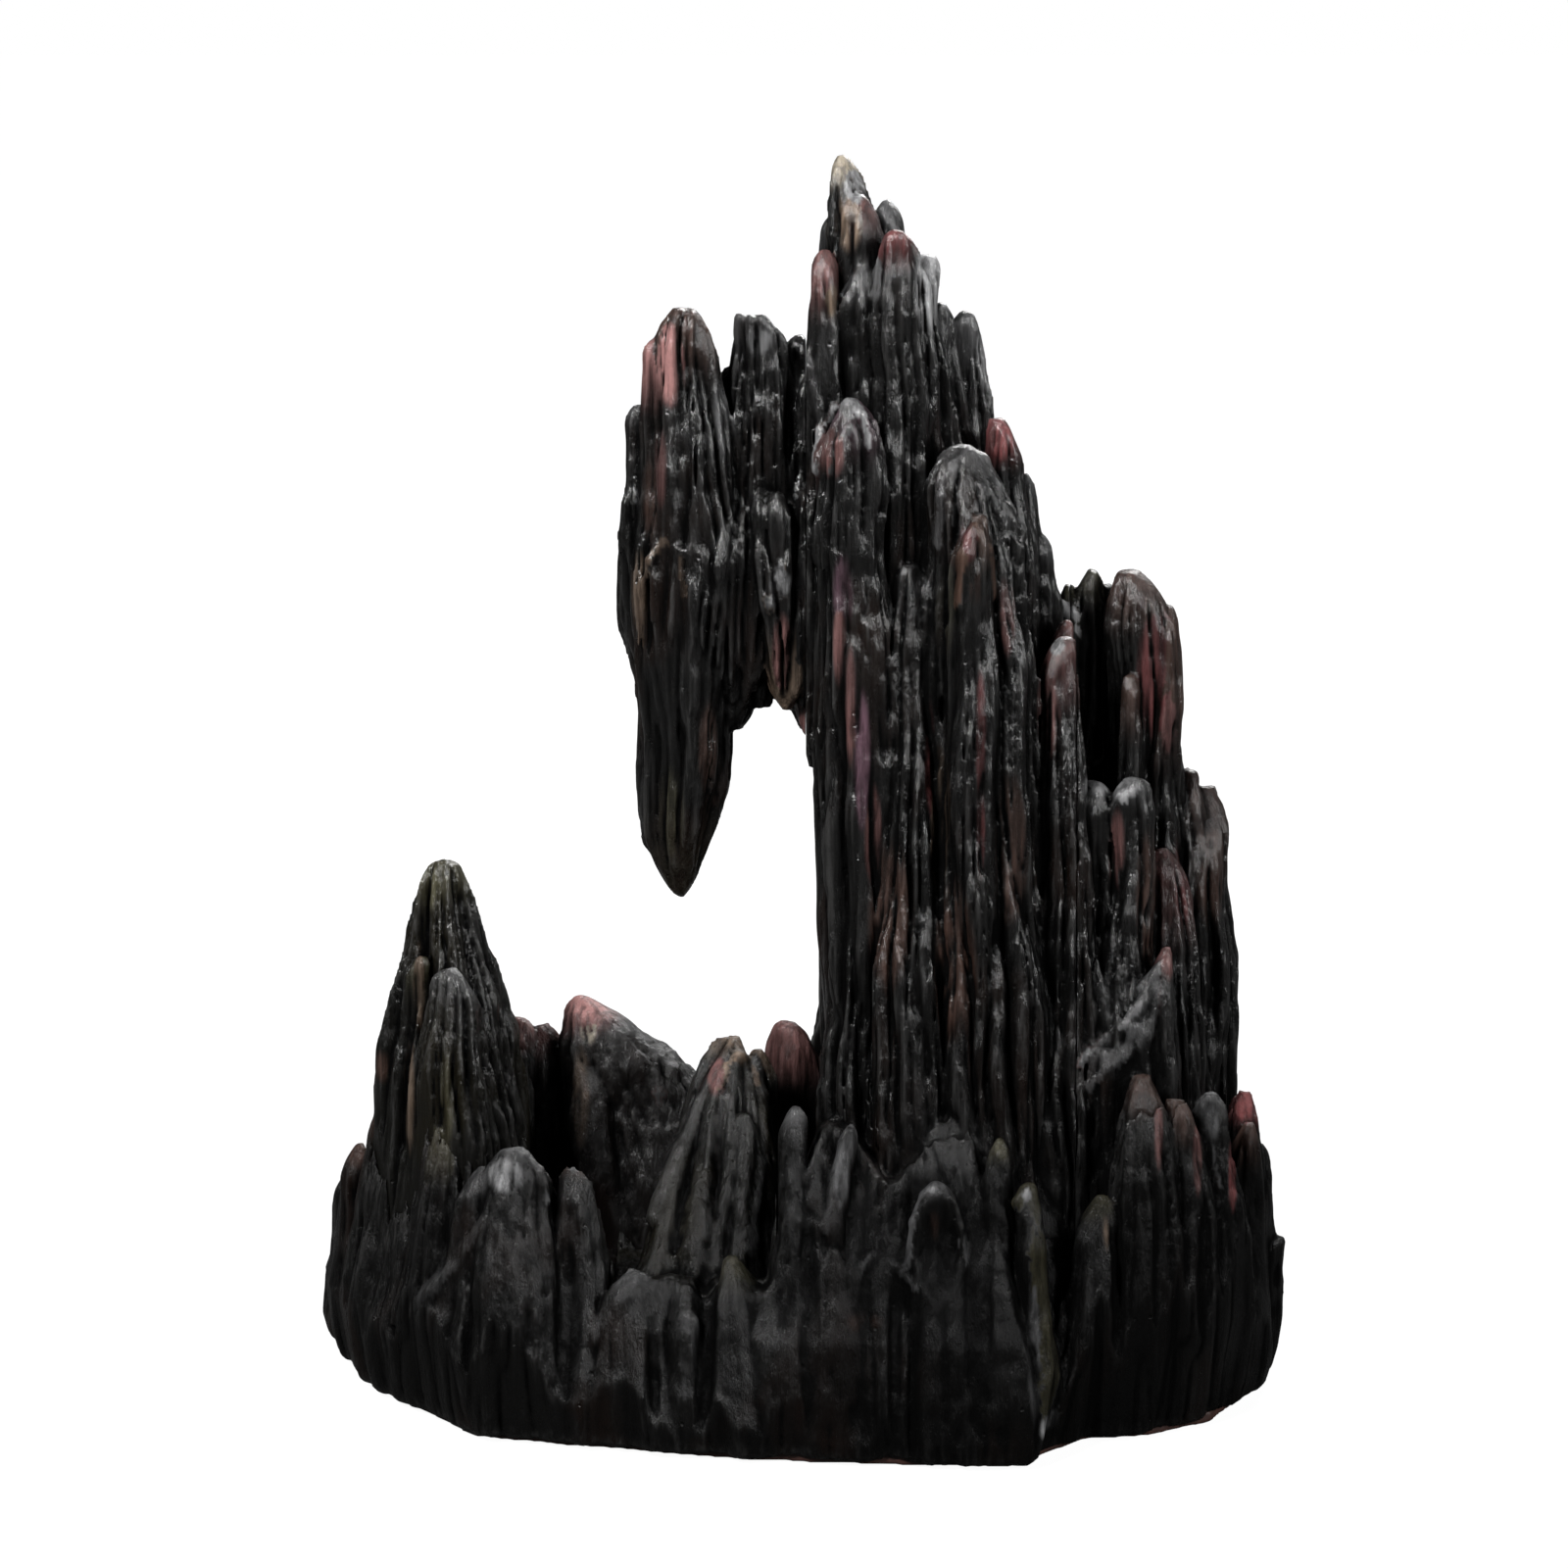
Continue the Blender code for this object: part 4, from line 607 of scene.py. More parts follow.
def outline_distance(x, y, outline):
    """Signed distance to a closed outline, and how far along it, on a grid."""
    x, y = np.meshgrid(x, y, indexing="ij")
    best = np.full(x.shape, 1e9, np.float32)
    along = np.zeros(x.shape, np.float32)
    inside = np.zeros(x.shape, bool)
    run = 0.0
    for i, (start_x, start_y) in enumerate(outline):
        end_x, end_y = outline[(i + 1) % len(outline)]
        edge_x, edge_y = end_x - start_x, end_y - start_y
        size = math.hypot(edge_x, edge_y)
        share = np.clip(((x - start_x) * edge_x + (y - start_y) * edge_y) / (size * size),
                        0.0, 1.0)
        dist = np.hypot(x - start_x - share * edge_x, y - start_y - share * edge_y)
        near = dist < best
        best = np.where(near, dist, best)
        along = np.where(near, run + share * size, along)
        inside ^= (((start_y > y) != (end_y > y))
                   & (x < (end_x - start_x) * (y - start_y) / (end_y - start_y + 1e-9) + start_x))
        run += size
    return np.where(inside, -best, best).astype(np.float32), along.astype(np.float32)


def bank(field, flat, along):
    """Broad draped bank of rock: low at the back, high against the towers."""
    x, y, z = field.x, field.y, field.z
    big = noise(along / 9.0, flat / 60.0 + 3.0, 0.3)
    lift = noise(along / 13.0 + 7.0, flat / 40.0, 5.3)
    # how far the face leans in with height: low bank, then raised bank
    inset = np.interp(z, [1.0, 5.0, 12.0, 22.0, 31.0, 38.0],
                      [0.4, 0.2, 1.0, 4.0, 9.5, 14.0]).astype(np.float32)
    steep = np.interp(z, [1.0, 5.0, 12.0, 22.0, 35.0, 48.0, 62.0, 76.0],
                      [0.4, 0.2, 0.8, 3.0, 8.5, 15.5, 23.0, 32.0]).astype(np.float32)
    raised = (smooth(-8.0, 6.0, x)[:, None] * (1.0 - smooth(-20.0, -4.0, y))).astype(np.float32)
    dist = flat[:, :, None] + inset + raised[:, :, None] * (steep - inset)
    small = noise(along[:, :, None] / 4.2, flat[:, :, None] / 25.0, z / 50.0 + 3.0)
    dist -= 2.4 * furrow(big)[:, :, None] + 0.8 * furrow(small)
    crest = 23.5 + 4.0 * lift + (29.0 + 8.0 * big) * raised
    sill = (smooth(-42.0, -32.0, x) * (1.0 - smooth(-10.0, -2.0, x)))[:, None]
    crest = crest + 6.0 * sill * (1.0 - smooth(-38.0, -30.0, y))
    return np.maximum(dist, (z - crest[:, :, None]) * 0.8).astype(np.float32)


def carve_cave(field, foot, tip, wide, narrow):
    """Carve out a plain tapering cavity."""
    foot, tip = np.array(foot, np.float32), np.array(tip, np.float32)
    x, y, z = field.axes()
    along = (z - foot[2]) / (tip[2] - foot[2])
    inside = np.clip(along, 0.0, 1.0)
    centre_x, centre_y = (foot[i] + (tip[i] - foot[i]) * inside for i in (0, 1))
    radius_x, radius_y = (wide[i] + (narrow[i] - wide[i]) * inside for i in (0, 1))
    closing = np.clip((along - 0.85) / 0.15, 0.0, None)
    close = np.where(closing < 1.0, np.sqrt(np.clip(1.0 - closing * closing, 0.0, 1.0)), -1.0)
    across = (x - centre_x) / radius_x
    back = (y - centre_y) / radius_y
    dist = (np.sqrt(across * across + back * back) - close) * np.minimum(radius_x, radius_y)
    field.cut(dist + 0.9 * noise(x / 6.0, y / 6.0, z / 9.0))


def weather(field):
    """World-upright striations, soft lumps and chips over a whole piece."""
    near = np.nonzero(np.abs(field.dist) < WEATHER_BAND)
    x, y, z = field.x[near[0]], field.y[near[1]], field.z[near[2]]
    bent_x = x + 2.4 * noise(z / 34.0, y / 13.0, 2.1)
    bent_y = y + 2.4 * noise(z / 34.0, x / 13.0, 8.4)
    medium = furrow(noise(bent_x / 2.5 + 11.0, bent_y / 2.5 + 3.0, z / 75.0))
    fine = furrow(noise(bent_x / 1.2, bent_y / 1.2, z / 34.0))
    lump = noise(x / 8.0 + 3.0, y / 8.0, z / 14.0)
    chip = noise(x / 2.3, y / 2.3 + 7.0, z / 3.4)
    # striations are fainter towards tips and near the ground
    calm = 1.0 - 0.85 * smooth(0.66, 0.96, field.rise[near] / 255.0)
    calm *= np.interp(z, [0.0, 12.0, 30.0, 62.0], [0.42, 0.22, 0.34, 1.0])
    field.dist[near] -= calm * (0.62 * medium + 0.46 * fine) + 0.75 * lump + 0.30 * chip


def bead(field, path, thick, paint, sink):
    """Lay a raised rib over the front face along a path of (x, z) points."""
    points = []
    for x, z in path:
        i = int(np.clip(np.searchsorted(field.x, x), 0, len(field.x) - 1))
        k = int(np.clip(np.searchsorted(field.z, z), 0, len(field.z) - 1))
        hit = np.nonzero(field.dist[i, :, k] < 0)[0]
        if len(hit):
            points.append((x, float(field.y[hit[0]]), z))
    pieces = max(len(points) - 1, 1)
    for i in range(len(points) - 1):
        start, end = np.array(points[i]), np.array(points[i + 1])
        if abs(start[1] - end[1]) > 9.0:    # don't bridge from one face to another
            continue
        start_r, end_r = (thick[0] + (thick[1] - thick[0]) * j / pieces for j in (i, i + 1))
        start[1] += sink * start_r
        end[1] += sink * end_r
        margin = max(start_r, end_r) + 1.6
        win = field.window(np.minimum(start, end) - margin, np.maximum(start, end) + margin)
        x, y, z = (axis - start[j] for j, axis in enumerate(field.axes(win)))
        edge = end - start
        share = np.clip((x * edge[0] + y * edge[1] + z * edge[2]) / float(edge @ edge), 0.0, 1.0)
        dist = np.sqrt((x - share * edge[0]) ** 2 + (y - share * edge[1]) ** 2
                       + (z - share * edge[2]) ** 2)
        dist = dist - (start_r + (end_r - start_r) * share)
        coat = None if paint is None else (*paint, (start + end) / 2)
        field.add(win, dist.astype(np.float32), coat, blend=1.1, rise=255)


def lay_beads(field, table):
    for kind, (strength, start_r, end_r, sink, *path) in entries(table):
        paint = None if kind == "keep" else (kind, strength, BEAD_PAINT_REACH)
        bead(field, list(zip(path[::2], path[1::2])), (start_r, end_r), paint, sink)


def front_relief(field):
    """Hollows, slanting ribs and arch rims on the foot and the ridge stone."""
    for *numbers, depth in DIMPLES:
        centre, size = np.array(numbers[:3], np.float32), np.array(numbers[3:], np.float32)
        win = field.window(centre - size, centre + size)
        x, y, z = (((axis - centre[i]) / size[i]) ** 2 for i, axis in enumerate(field.axes(win)))
        field.dist[win] += depth * np.clip(1.0 - (x + y + z), 0.0, 1.0)
    lay_beads(field, FRONT_BEADS)


# ------------------------------------------------------------------ meshing
def surface(field):
    """Quads through the zero level of a field, one vertex per mixed cell."""
    dist = field.dist
    for axis in range(3):
        layers = np.moveaxis(dist, axis, 0)
        layers[0] = OUTSIDE
        layers[-1] = OUTSIDE
    solid = dist < 0
    shape = tuple(n - 1 for n in dist.shape)
    count = np.zeros(shape, np.uint8)
    for corner in CORNERS:
        count += solid[tuple(slice(c, n + c) for c, n in zip(corner, shape))]
    mixed = np.flatnonzero((count > 0) & (count < 8))
    del count
    i, j, k = np.unravel_index(mixed, shape)
    value = {(a, b, c): dist[i + a, j + b, k + c] for a, b, c in CORNERS}
    total = np.zeros((len(mixed), 3), np.float32)
    hits = np.zeros(len(mixed), np.float32)
    for start in CORNERS:
        for axis in range(3):
            if start[axis] == 1:
                continue
            end = list(start)
            end[axis] = 1
            near, far = value[start], value[tuple(end)]
            cross = (near < 0) != (far < 0)
            share = np.where(cross, near / np.where(cross, near - far, 1.0), 0.0)
            for c in range(3):
                total[:, c] += np.where(cross, (share if c == axis else float(start[c])), 0.0)
            hits += cross
    verts = field.low + (np.stack([i, j, k], 1) + total / hits[:, None]) * field.step
    index = np.full(shape, -1, np.int32)
    index.ravel()[mixed] = np.arange(len(mixed), dtype=np.int32)
    quads = []
    for axis in range(3):
        low = [slice(1, -1)] * 3
        low[axis] = slice(0, -1)
        high = [slice(1, -1)] * 3
        high[axis] = slice(1, None)
        inner, outer = solid[tuple(low)], solid[tuple(high)]
        edges = np.nonzero(inner != outer)
        base = [edges[c] + low[c].start for c in range(3)]
        side, up = (axis + 1) % 3, (axis + 2) % 3

        def cell(step_side, step_up):
            place = list(base)
            place[side] = place[side] + step_side
            place[up] = place[up] + step_up
            return index[tuple(place)]

        quad = np.stack([cell(-1, -1), cell(0, -1), cell(0, 0), cell(-1, 0)], 1)
        flip = ~inner[edges]
        quad[flip] = quad[flip][:, ::-1]
        quads.append(quad)
    return verts.astype(np.float32), np.concatenate(quads)


def main_body(count, quads):
    """Mark the vertices of the largest connected piece."""
    label = np.arange(count, dtype=np.int64)
    ends = np.stack([quads, np.roll(quads, -1, axis=1)], 2).reshape(-1, 2)
    while True:
        low = np.minimum(label[ends[:, 0]], label[ends[:, 1]])
        fresh = label.copy()
        np.minimum.at(fresh, label[ends[:, 0]], low)
        np.minimum.at(fresh, label[ends[:, 1]], low)
        fresh = fresh[fresh]
        while True:
            jump = fresh[fresh]
            if (jump == fresh).all():
                break
            fresh = jump
        if (fresh == label).all():
            break
        label = fresh
    return label == np.bincount(label).argmax()


def form_of(field, verts):
    """Surface normal, and how much each vertex is ridge, hollow, painted shade and shiny."""
    axes = np.eye(3, dtype=np.float32)

    def around(reach):
        plus = [field.sample(verts + axes[i] * reach) for i in range(3)]
        minus = [field.sample(verts - axes[i] * reach) for i in range(3)]
        slope = np.stack([p - m for p, m in zip(plus, minus)], 1) / (2 * reach)
        steep = np.linalg.norm(slope, axis=1) + 1e-4
        bend = (sum(plus) + sum(minus) - 6.0 * field.sample(verts)) / (reach * reach) / steep
        return slope / steep[:, None], steep, bend

    normal, steep, bend = around(0.7)
    wide_bend = around(2.0)[2]
    ridge = np.clip(0.30 * bend + 0.75 * wide_bend - 0.12, 0, 1)
    hollow = np.clip(-0.40 * bend - 0.8 * wide_bend - 0.02, 0, 1)
    # painted shade for recesses: the less open space outside a vertex, the darker
    reach = 4.5
    rise = field.sample(verts + normal * reach) / np.maximum(steep, 0.5)
    painted_shade = np.clip(1.2 * (reach - rise) / reach - 0.30, 0, 1)
    # painted shade for the light falling off: darker low down and to the right
    x, y, z = verts[:, 0], verts[:, 1], verts[:, 2]
    falloff_shade = (0.30 + 0.58 * smooth(-30.0, 14.0, x)) * (1.0 - smooth(34.0, 66.0, z))
    falloff_shade += 0.34 * smooth(2.0, 14.0, x) * (1.0 - smooth(120.0, 172.0, z))
    falloff_shade = np.clip(falloff_shade * (0.8 + 0.35 * noise(x / 7.0, y / 7.0, z / 16.0)), 0.0, 0.92)
    painted_shade = np.clip(painted_shade + falloff_shade, 0.0, 1.0)
    return normal, (ridge, hollow, painted_shade, 0.24 + 0.76 * smooth(46.0, 100.0, z))


def paint_of(field, verts, normal, ridge, hollow, strokes):
    """Paint colour and amount: spire tips first, then listed strokes."""
    streak = noise(verts[:, 0] * 0.9, verts[:, 1] * 0.9, verts[:, 2] / 12.0) * 0.5 + 0.5
    colour = np.zeros((len(verts), 4), np.float32)
    own = field.owners(verts + normal * 0.1)
    for i, paint in enumerate(field.paints):
        if paint is None or paint[0] == "none":
            continue
        chosen = own == i
        if not chosen.any():
            continue
        kind, strength, reach, tip = paint
        dist = np.sqrt((((verts[chosen] - tip) * [0.8, 0.8, 1.0]) ** 2).sum(1))
        amount = strength * (1.0 - smooth(0.15 * reach, reach, dist))
        amount *= 0.30 + 0.60 * (0.7 * streak[chosen] + 0.5 * ridge[chosen])
        colour[chosen, :3] = PAINT[kind]
        colour[chosen, 3] = np.clip(amount, 0, 1)
    for kind, (strength, *box) in entries(strokes):
        offset = ((verts - np.array(box[:3])) / np.array(box[3:])) ** 2
        amount = 0.80 * strength * (1.0 - smooth(0.25, 1.0, offset.sum(1)))
        amount = amount * np.clip(0.15 + 0.9 * streak + 0.5 * ridge - 0.6 * hollow, 0, 1)
        take = amount > colour[:, 3]
        colour[take, :3] = PAINT[kind]
        colour[take, 3] = amount[take]
    return colour


def rock(name, field, slot, mat):
    """Mesh a field, colour it by tips and ridges, and hand it to the frame."""
    verts, quads = surface(field)
    body = main_body(len(verts), quads)
    quads = quads[body[quads[:, 0]]]
    renumber = np.cumsum(body) - 1
    verts, quads = verts[body], renumber[quads]
    normal, form = form_of(field, verts)
    colour = paint_of(field, verts, normal, form[0], form[1], STROKES.get(name, ""))
    mesh = bpy.data.meshes.new(name)
    mesh.vertices.add(len(verts))
    mesh.vertices.foreach_set("co", (verts * MM).astype(np.float32).ravel())
    mesh.loops.add(len(quads) * 4)
    mesh.loops.foreach_set("vertex_index", quads.astype(np.int32).ravel())
    mesh.polygons.add(len(quads))
    mesh.polygons.foreach_set("loop_start", np.arange(0, len(quads) * 4, 4, dtype=np.int32))
    mesh.update(calc_edges=True)
    mesh.validate()
    mesh.polygons.foreach_set("use_smooth", np.ones(len(mesh.polygons), bool))
    for label, values in (("paint", colour), ("form", np.stack(form, 1).astype(np.float32))):
        attribute = mesh.attributes.new(label, "FLOAT_COLOR", "POINT")
        attribute.data.foreach_set("color", values.ravel())
    mesh.materials.append(mat)
    obj = bpy.data.objects.new(name + "_rock", mesh)
    bpy.context.scene.collection.objects.link(obj)
    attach(obj, "root")
    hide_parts(name)


# ------------------------------------------------------------------ materials
class Graph:
    """Adds linked nodes to a shader tree; a value is a number, a tuple or a socket."""

    def __init__(self, tree):
        self.nodes, self.links = tree.nodes, tree.links

    def plug(self, socket, value):
        if isinstance(value, bpy.types.NodeSocket):
            self.links.new(value, socket)
        elif isinstance(value, tuple):      # colours get an alpha of 1
            socket.default_value = (*value, 1.0)[:len(socket.default_value)]
        else:
            socket.default_value = value

    def plug_all(self, node, inputs):
        for name, value in inputs.items():
            self.plug(node.inputs[name.replace("_", " ")], value)

    def add(self, kind, **inputs):
        node = self.nodes.new("ShaderNode" + kind)
        self.plug_all(node, inputs)
        return node

    def maths(self, operation, *values, clamp=False):
        node = self.add("Math")
        node.operation = operation
        node.use_clamp = clamp
        for socket, value in zip(node.inputs, values):
            self.plug(socket, value)
        return node.outputs[0]

    def times(self, first, second, clamp=False):
        return self.maths("MULTIPLY", first, second, clamp=clamp)

    def plus(self, first, second, clamp=False):
        return self.maths("ADD", first, second, clamp=clamp)

    def less(self, value, share):
        """1 - value * share, clamped."""
        return self.maths("SUBTRACT", 1.0, self.times(value, share), clamp=True)

    def mix(self, factor, first, second):
        node = self.add("Mix")
        node.data_type = "RGBA"
        node.clamp_factor = True
        for i, value in ((0, factor), (6, first), (7, second)):     # 6, 7: colours A, B
            self.plug(node.inputs[i], value)
        return node.outputs[2]

    def smoothstep(self, value, low, high):
        node = self.add("MapRange", From_Min=low, From_Max=high, Value=value)
        node.interpolation_type = "SMOOTHSTEP"
        return node.outputs[0]

    def ramp(self, value, stops):
        """Colour ramp through (position, colour) stops."""
        node = self.add("ValToRGB")
        stop_list = node.color_ramp.elements
        for element, (position, colour) in zip(stop_list, (stops[0], stops[-1])):
            element.position, element.color = position, (*colour, 1)
        for position, colour in stops[1:-1]:
            stop_list.new(position).color = (*colour, 1)
        self.plug(node.inputs[0], value)
        return node.outputs[0]

    def bump(self, height, strength, distance=1.0):
        return self.add("Bump", Strength=strength, Distance=distance, Height=height).outputs[0]


def new_material(name):
    """A material, its graph and its Principled BSDF."""
    mat = bpy.data.materials.new(name)
    mat.use_nodes = True
    return mat, Graph(mat.node_tree), mat.node_tree.nodes["Principled BSDF"]


def resin(name, base, warm):
    """Dark lacquered resin with painted shade in hollows, recesses and low down, grey ridges that are partly
    dry-brush and partly painted highlight, and dabs of paint.
    """
    mat, graph, shader = new_material(name)
    coords = graph.add("TexCoord").outputs["Object"]
    form = graph.add("Attribute")
    form.attribute_name = "form"
    paint = graph.add("Attribute")
    paint.attribute_name = "paint"
    parts = graph.add("SeparateColor", Color=form.outputs["Color"])
    ridge, hollow, painted_shade = parts.outputs[:3]

    def texture(scale, detail, rough):
        place = graph.add("Mapping", Scale=scale, Vector=coords).outputs[0]
        return graph.add("TexNoise", Scale=1.0, Detail=detail, Roughness=rough,
                         Vector=place).outputs["Fac"]

    streak = texture((900, 900, 60), detail=5.0, rough=0.6)
    blotch = texture((70, 70, 38), detail=3.0, rough=0.5)
    speck = texture((1600, 1600, 1100), detail=2.0, rough=0.6)
    body = graph.ramp(blotch, [(0.30, base), (0.52, tuple(b * 0.62 for b in base)),
                               (0.72, warm)])
    body = graph.mix(graph.times(streak, 0.55), body, tuple(b * 0.30 for b in base))
    # grey on the ridges, partly real dry-brush and partly painted highlight
    ridge_brush_highlight = graph.times(ridge, graph.smoothstep(streak, low=0.42, high=0.70))
    body = graph.mix(graph.times(ridge_brush_highlight, 0.50, clamp=True), body, (0.052, 0.051, 0.050))
    # painted shade: creases, recesses and the low right-hand parts go near black
    shade_amount = graph.plus(graph.times(hollow, 0.95), graph.times(painted_shade, 0.85), clamp=True)
    body = graph.mix(shade_amount, body, (0.0018, 0.0018, 0.0018))
    # streaky paint, kept out of the hollows
    streaky = graph.plus(0.45, graph.times(graph.smoothstep(streak, low=0.35, high=0.62), 0.75))
    amount = graph.times(paint.outputs["Alpha"], streaky, clamp=True)
    amount = graph.times(amount, graph.less(hollow, 0.9))
    # streaks and specks vary the roughness about 0.30; the painted shade also dulls the specular and the
    # lacquer
    rough = graph.plus(graph.maths("MULTIPLY_ADD", streak, 0.30, 0.17),
                       graph.maths("MULTIPLY_ADD", speck, 0.18, -0.09))
    gloss = graph.times(graph.less(shade_amount, 0.85), form.outputs["Alpha"])
    # fine striations, cast grain, soft unevenness and pinholes, in metres
    height = graph.times(texture((1500, 1500, 95), detail=6.0, rough=0.66), 0.00062)
    for scale, detail, depth in (((1900, 1900, 1300), 3.0, 0.00016),
                                 ((420, 420, 170), 4.0, 0.00045)):
        height = graph.plus(height, graph.times(texture(scale, detail, rough=0.6), depth))
    cells = graph.add("TexVoronoi", Scale=420.0, Vector=coords)
    pit = graph.smoothstep(cells.outputs["Distance"], low=0.06, high=0.20)
    where = graph.smoothstep(texture((120, 120, 90), detail=2.0, rough=0.5), low=0.56, high=0.66)
    pinholes = graph.times(graph.maths("SUBTRACT", pit, 1.0), where)
    height = graph.plus(height, graph.times(pinholes, 0.00026))
    graph.plug_all(shader, {
        "Base Color": graph.mix(amount, body, paint.outputs["Color"]),
        "Roughness": graph.plus(rough, graph.times(amount, 0.10), clamp=True),
        "Specular IOR Level": graph.times(graph.less(shade_amount, 0.92), 0.19),
        "Coat Weight": graph.times(gloss, 0.75),
        "Coat Roughness": 0.06,
        "Coat IOR": 1.5,
        "Normal": graph.bump(height, strength=0.85),
        "Coat Normal": graph.bump(height, strength=0.42),
    })
    return mat


def plain(name, colour, rough, scale):
    """Uncoated resin with a slight mottle."""
    mat, graph, shader = new_material(name)
    coords = graph.add("TexCoord").outputs["Object"]
    mottle = graph.add("TexNoise", Scale=scale, Detail=5.0, Vector=coords).outputs["Fac"]
    shade = graph.ramp(mottle, [(0.3, [c * 0.6 for c in colour]),
                                (0.7, [min(1.0, c * 1.25) for c in colour])])
    graph.plug_all(shader, {"Base Color": shade, "Roughness": rough,
                            "Normal": graph.bump(mottle, strength=0.5, distance=0.0004)})
    return mat


CHARCOAL = resin("resin_charcoal_lacquer", base=(0.0034, 0.0033, 0.0031),
                 warm=(0.0090, 0.0044, 0.0029))
OLIVE = resin("resin_olive_lacquer", base=(0.0045, 0.0043, 0.0032), warm=(0.0085, 0.0066, 0.0024))
ROSE = resin("resin_rose_lacquer", base=(0.0060, 0.0050, 0.0046), warm=(0.0105, 0.0056, 0.0044))
LOOKS = {"left_peak": ("resin_olive", OLIVE), "ridge_stone": ("resin_olive", OLIVE),
         "rear_wall": ("resin_rose", ROSE), "egg_stone": ("resin_rose", ROSE)}
DARK_LOOK = ("resin_charcoal", CHARCOAL)


# ------------------------------------------------------------------ castings
def rock_group(low, high, members):
    """Neighbouring castings grown together with the bank, so that they match at joints."""
    field = Field(low, high)
    for member in members:
        grow(field, member)
    field.add(..., bank(field, *outline_distance(field.x, field.y, GROUND)), BARE)
    return field


def cast(field, name):
    """Cut one casting out of its group."""
    across, back = zip(*CELLS[name])
    part = field.crop((min(across) - 2, min(back) - 2, 17), (max(across) + 2, max(back) + 2, 400))
    flat, _ = outline_distance(part.x, part.y, CELLS[name])
    part.keep((flat + GAP)[:, :, None])
    part.keep(SEAT_Z - part.z)
    if name == "main_tower":    # notch round the egg stone
        low, high = (-20, -0.2, 10), (EGG_JOINT_X + 0.16, 13.0, 69.0)
        x, y, z = (np.maximum(low[i] - axis, axis - high[i])
                   for i, axis in enumerate(part.axes()))
        part.cut(np.maximum(np.maximum(x, y), z))
    rock(name, part, *LOOKS.get(name, DARK_LOOK))


def build_towers():
    field = rock_group((-2, -44, 17), (88, 36, 228), (
        "base_casting", "overhang_block", "main_tower", "right_tower", "rear_slab"))
    lay_beads(field, TOWER_BEADS)
    weather(field)
    # the left side is drawn in between the base and the overhang
    side = np.interp(field.z, [52, 62, 80, 100, 118, 128], [0.0, 4.6, 4.4, 3.2, 2.2, 0.0])
    x, y, z = field.axes()
    rough = 1.1 * furrow(noise(y / 2.6, z / 30.0, 4.4))
    rough += 0.8 * noise(y / 9.0, z / 11.0, 1.4)
    field.keep((side - rough) - x)
    for member in ("main_tower", "right_tower", "rear_slab"):
        cast(field, member)


def build_low_rocks():
    members = ("left_peak", "rear_wall", "ridge_stone", "egg_stone")
    field = rock_group((-84, -44, 17), (9, 30, 101), ("base_casting", *members))
    carve_cave(field, foot=(-45.5, -2, 18), tip=(-46.6, 6, 57.0), wide=(6.2, 13),
               narrow=(2.6, 6))
    front_relief(field)
    weather(field)
    for member in members:
        cast(field, member)


def build_overhang():
    field = Field((-36, -20, 89), (4, 22, 201))
    grow(field, "overhang_block")
    lay_beads(field, OVERHANG_BEADS)
    weather(field)
    field.keep((field.x - (TOWER_JOINT_X - GAP))[:, None, None])
    rock("overhang_block", field, *DARK_LOOK)


# (height, rate) at which each standing casting fades out of the base
BASE_FADES = {"left_peak": (38.0, 0.15), "rear_wall": (26.0, 0.30), "ridge_stone": (36.0, 0.15),
              "main_tower": (78.0, 0.6), "right_tower": (76.0, 0.6), "rear_slab": (26.0, 0.30)}


def build_base():
    field = Field((-96, -60, 0), (95, 57, 90))
    flat, along = outline_distance(field.x, field.y, GROUND)
    z = field.z
    field.dist[...] = bank(field, flat, along)
    for member, fade in BASE_FADES.items():
        grow(field, member, fade)
    grow(field, "base_casting")
    front_relief(field)
    weather(field)
    # the foot follows the ground outline and sits on the plate
    rim = np.interp(z, [0.9, 2.0, 6.0, 20.0], [0.9, -0.2, -1.2, -3.0]).astype(np.float32)
    edge = furrow(noise(along[:, :, None] / 2.7 + 5.0, flat[:, :, None] / 30.0, z / 30.0))
    swell = (1.3 * noise(along / 8.0 + 2.0, flat / 60.0, 9.1)
             + 0.7 * noise(along / 3.1, flat / 60.0, 4.1))
    field.keep((flat + 0.3 - swell)[:, :, None] + rim - 0.7 * edge)
    hem = 0.9 + 0.5 * noise(along / 6.0, 3.3, flat / 50.0)
    field.keep(hem[:, :, None] - z)
    field.cut(np.maximum((flat + 2.1)[:, :, None], z - PLATE_T - 0.1))
    # seats of the standing castings
    for outline in CELLS.values():
        cell, _ = outline_distance(field.x, field.y, outline)
        field.cut(np.maximum((cell - GAP)[:, :, None], DECK_Z - z))
    pool, _ = outline_distance(field.x, field.y, POOL)
    bed = DECK_Z + 1.5 + 1.6 * noise(field.x[:, None] / 5.0, field.y / 5.0, 2.2)
    field.cut(np.maximum(pool[:, :, None], bed[:, :, None] - z))
    # hollow under the deck
    field.cut(np.maximum((flat + 6.5)[:, :, None], z - 15.0))
    rock("base_casting", field, *DARK_LOOK)


def build_plate():
    """Flat plate inside the foot, with a round hole through it."""
    mat = plain("raw_red_brown_resin", colour=(0.040, 0.015, 0.011), rough=0.55, scale=450)
    pin_mat = plain("raw_resin_rod", colour=(0.50, 0.48, 0.44), rough=0.5, scale=900)
    plate = Field((-94, -58, -2), (93, 56, 5), step=(0.6, 0.4))
    flat, along = outline_distance(plate.x, plate.y, GROUND)
    wave = 0.35 * noise(along / 5.0, flat / 20.0, 1.7)
    hole = 7.0 - np.hypot(plate.x[:, None] + 22.0, plate.y + 6.0)
    plate.dist[...] = np.maximum(np.maximum(flat + 2.3 + wave, hole)[:, :, None],
                                 np.maximum(plate.z - PLATE_T, -plate.z))
    rock("base_plate", plate, "resin_plate", mat)
    for node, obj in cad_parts.items():
        if "dowel" in node:
            obj.data.materials.clear()
            obj.data.materials.append(pin_mat)


build_towers()
build_low_rocks()
build_overhang()
build_base()
build_plate()


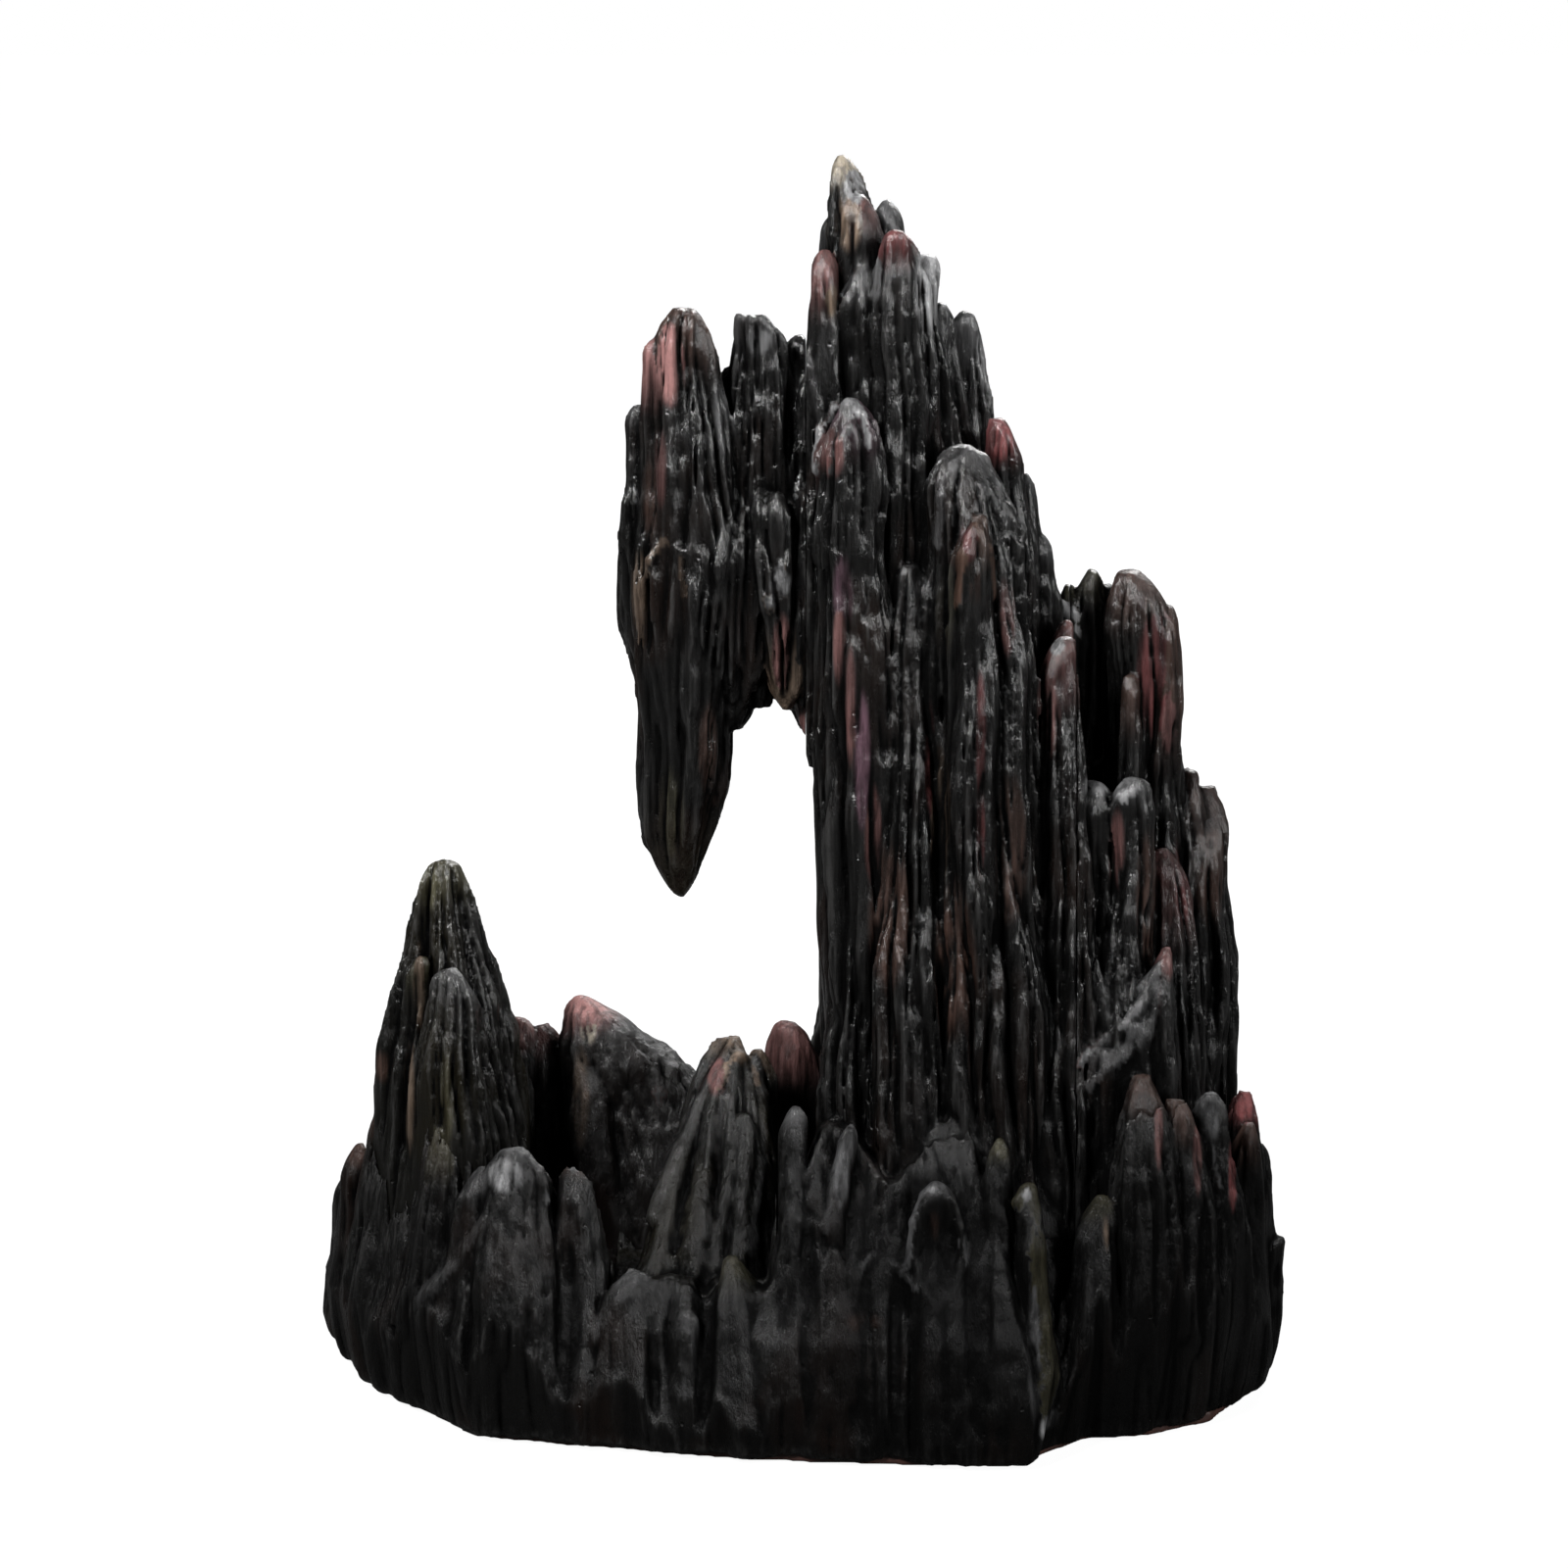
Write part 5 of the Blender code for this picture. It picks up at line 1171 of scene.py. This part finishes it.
# ------------------------------------------------------------------ stage
def build_floor():
    """Floor that glows white to the camera, and a little less under the piece."""
    bpy.ops.mesh.primitive_plane_add(size=12.0, location=(0, 0, -0.0002))
    floor = bpy.context.object
    floor.name = "floor"
    mat, graph, shader = new_material("pale_floor")
    camera_ray = graph.add("LightPath").outputs["Is Camera Ray"]
    reach = graph.add("VectorMath")
    reach.operation = "LENGTH"
    graph.plug(reach.inputs[0], graph.add("TexCoord").outputs["Object"])
    fade = graph.add("MapRange", From_Min=0.12, From_Max=0.45, To_Min=0.96, To_Max=1.0,
                     Value=reach.outputs["Value"])
    graph.plug_all(shader, {
        "Base Color": (0.07, 0.07, 0.07), "Roughness": 0.9, "Specular IOR Level": 0.0,
        "Emission Color": (1, 1, 1),
        "Emission Strength": graph.times(camera_ray, fade.outputs[0]),
    })
    floor.data.materials.append(mat)


def build_world():
    """White to the camera, dim as a light."""
    world = bpy.data.worlds.new("studio")
    bpy.context.scene.world = world
    world.use_nodes = True
    graph = Graph(world.node_tree)
    camera_ray = graph.add("LightPath").outputs["Is Camera Ray"]
    level = graph.add("MapRange", To_Min=0.055, To_Max=1.0, Value=camera_ray)
    graph.plug_all(graph.nodes["Background"],
                   {"Color": (1, 1, 1), "Strength": level.outputs[0]})


def place_aimed(name, data, location, target):
    obj = bpy.data.objects.new(name, data)
    obj.location = location
    obj.rotation_euler = (Vector(target) - obj.location).to_track_quat("-Z", "Y").to_euler()
    bpy.context.scene.collection.objects.link(obj)
    return obj


def area(name, location, target, size, power):
    light = bpy.data.lights.new(name, "AREA")
    light.energy = power
    light.shape = "RECTANGLE"
    light.size, light.size_y = size
    place_aimed(name, light, location, target)


build_floor()
build_world()
bpy.context.scene.view_settings.view_transform = "Standard"
area("key", location=(-0.55, -0.65, 0.85), target=(0, 0, 0.1), size=(0.20, 0.20), power=20.0)
area("fill", location=(0.80, -0.60, 0.50), target=(0, 0, 0.1), size=(0.15, 0.35), power=8.5)
area("rim", location=(0.35, 0.75, 0.75), target=(0, 0, 0.12), size=(0.4, 0.3), power=13.0)

CAMERA_X = -0.0029
lens = bpy.data.cameras.new("camera")
lens.lens = 90.4
lens.sensor_width = 36.0
bpy.context.scene.camera = place_aimed("camera", lens, location=(CAMERA_X, -0.700, 0.270),
                                       target=(CAMERA_X, 0.0, 0.111))
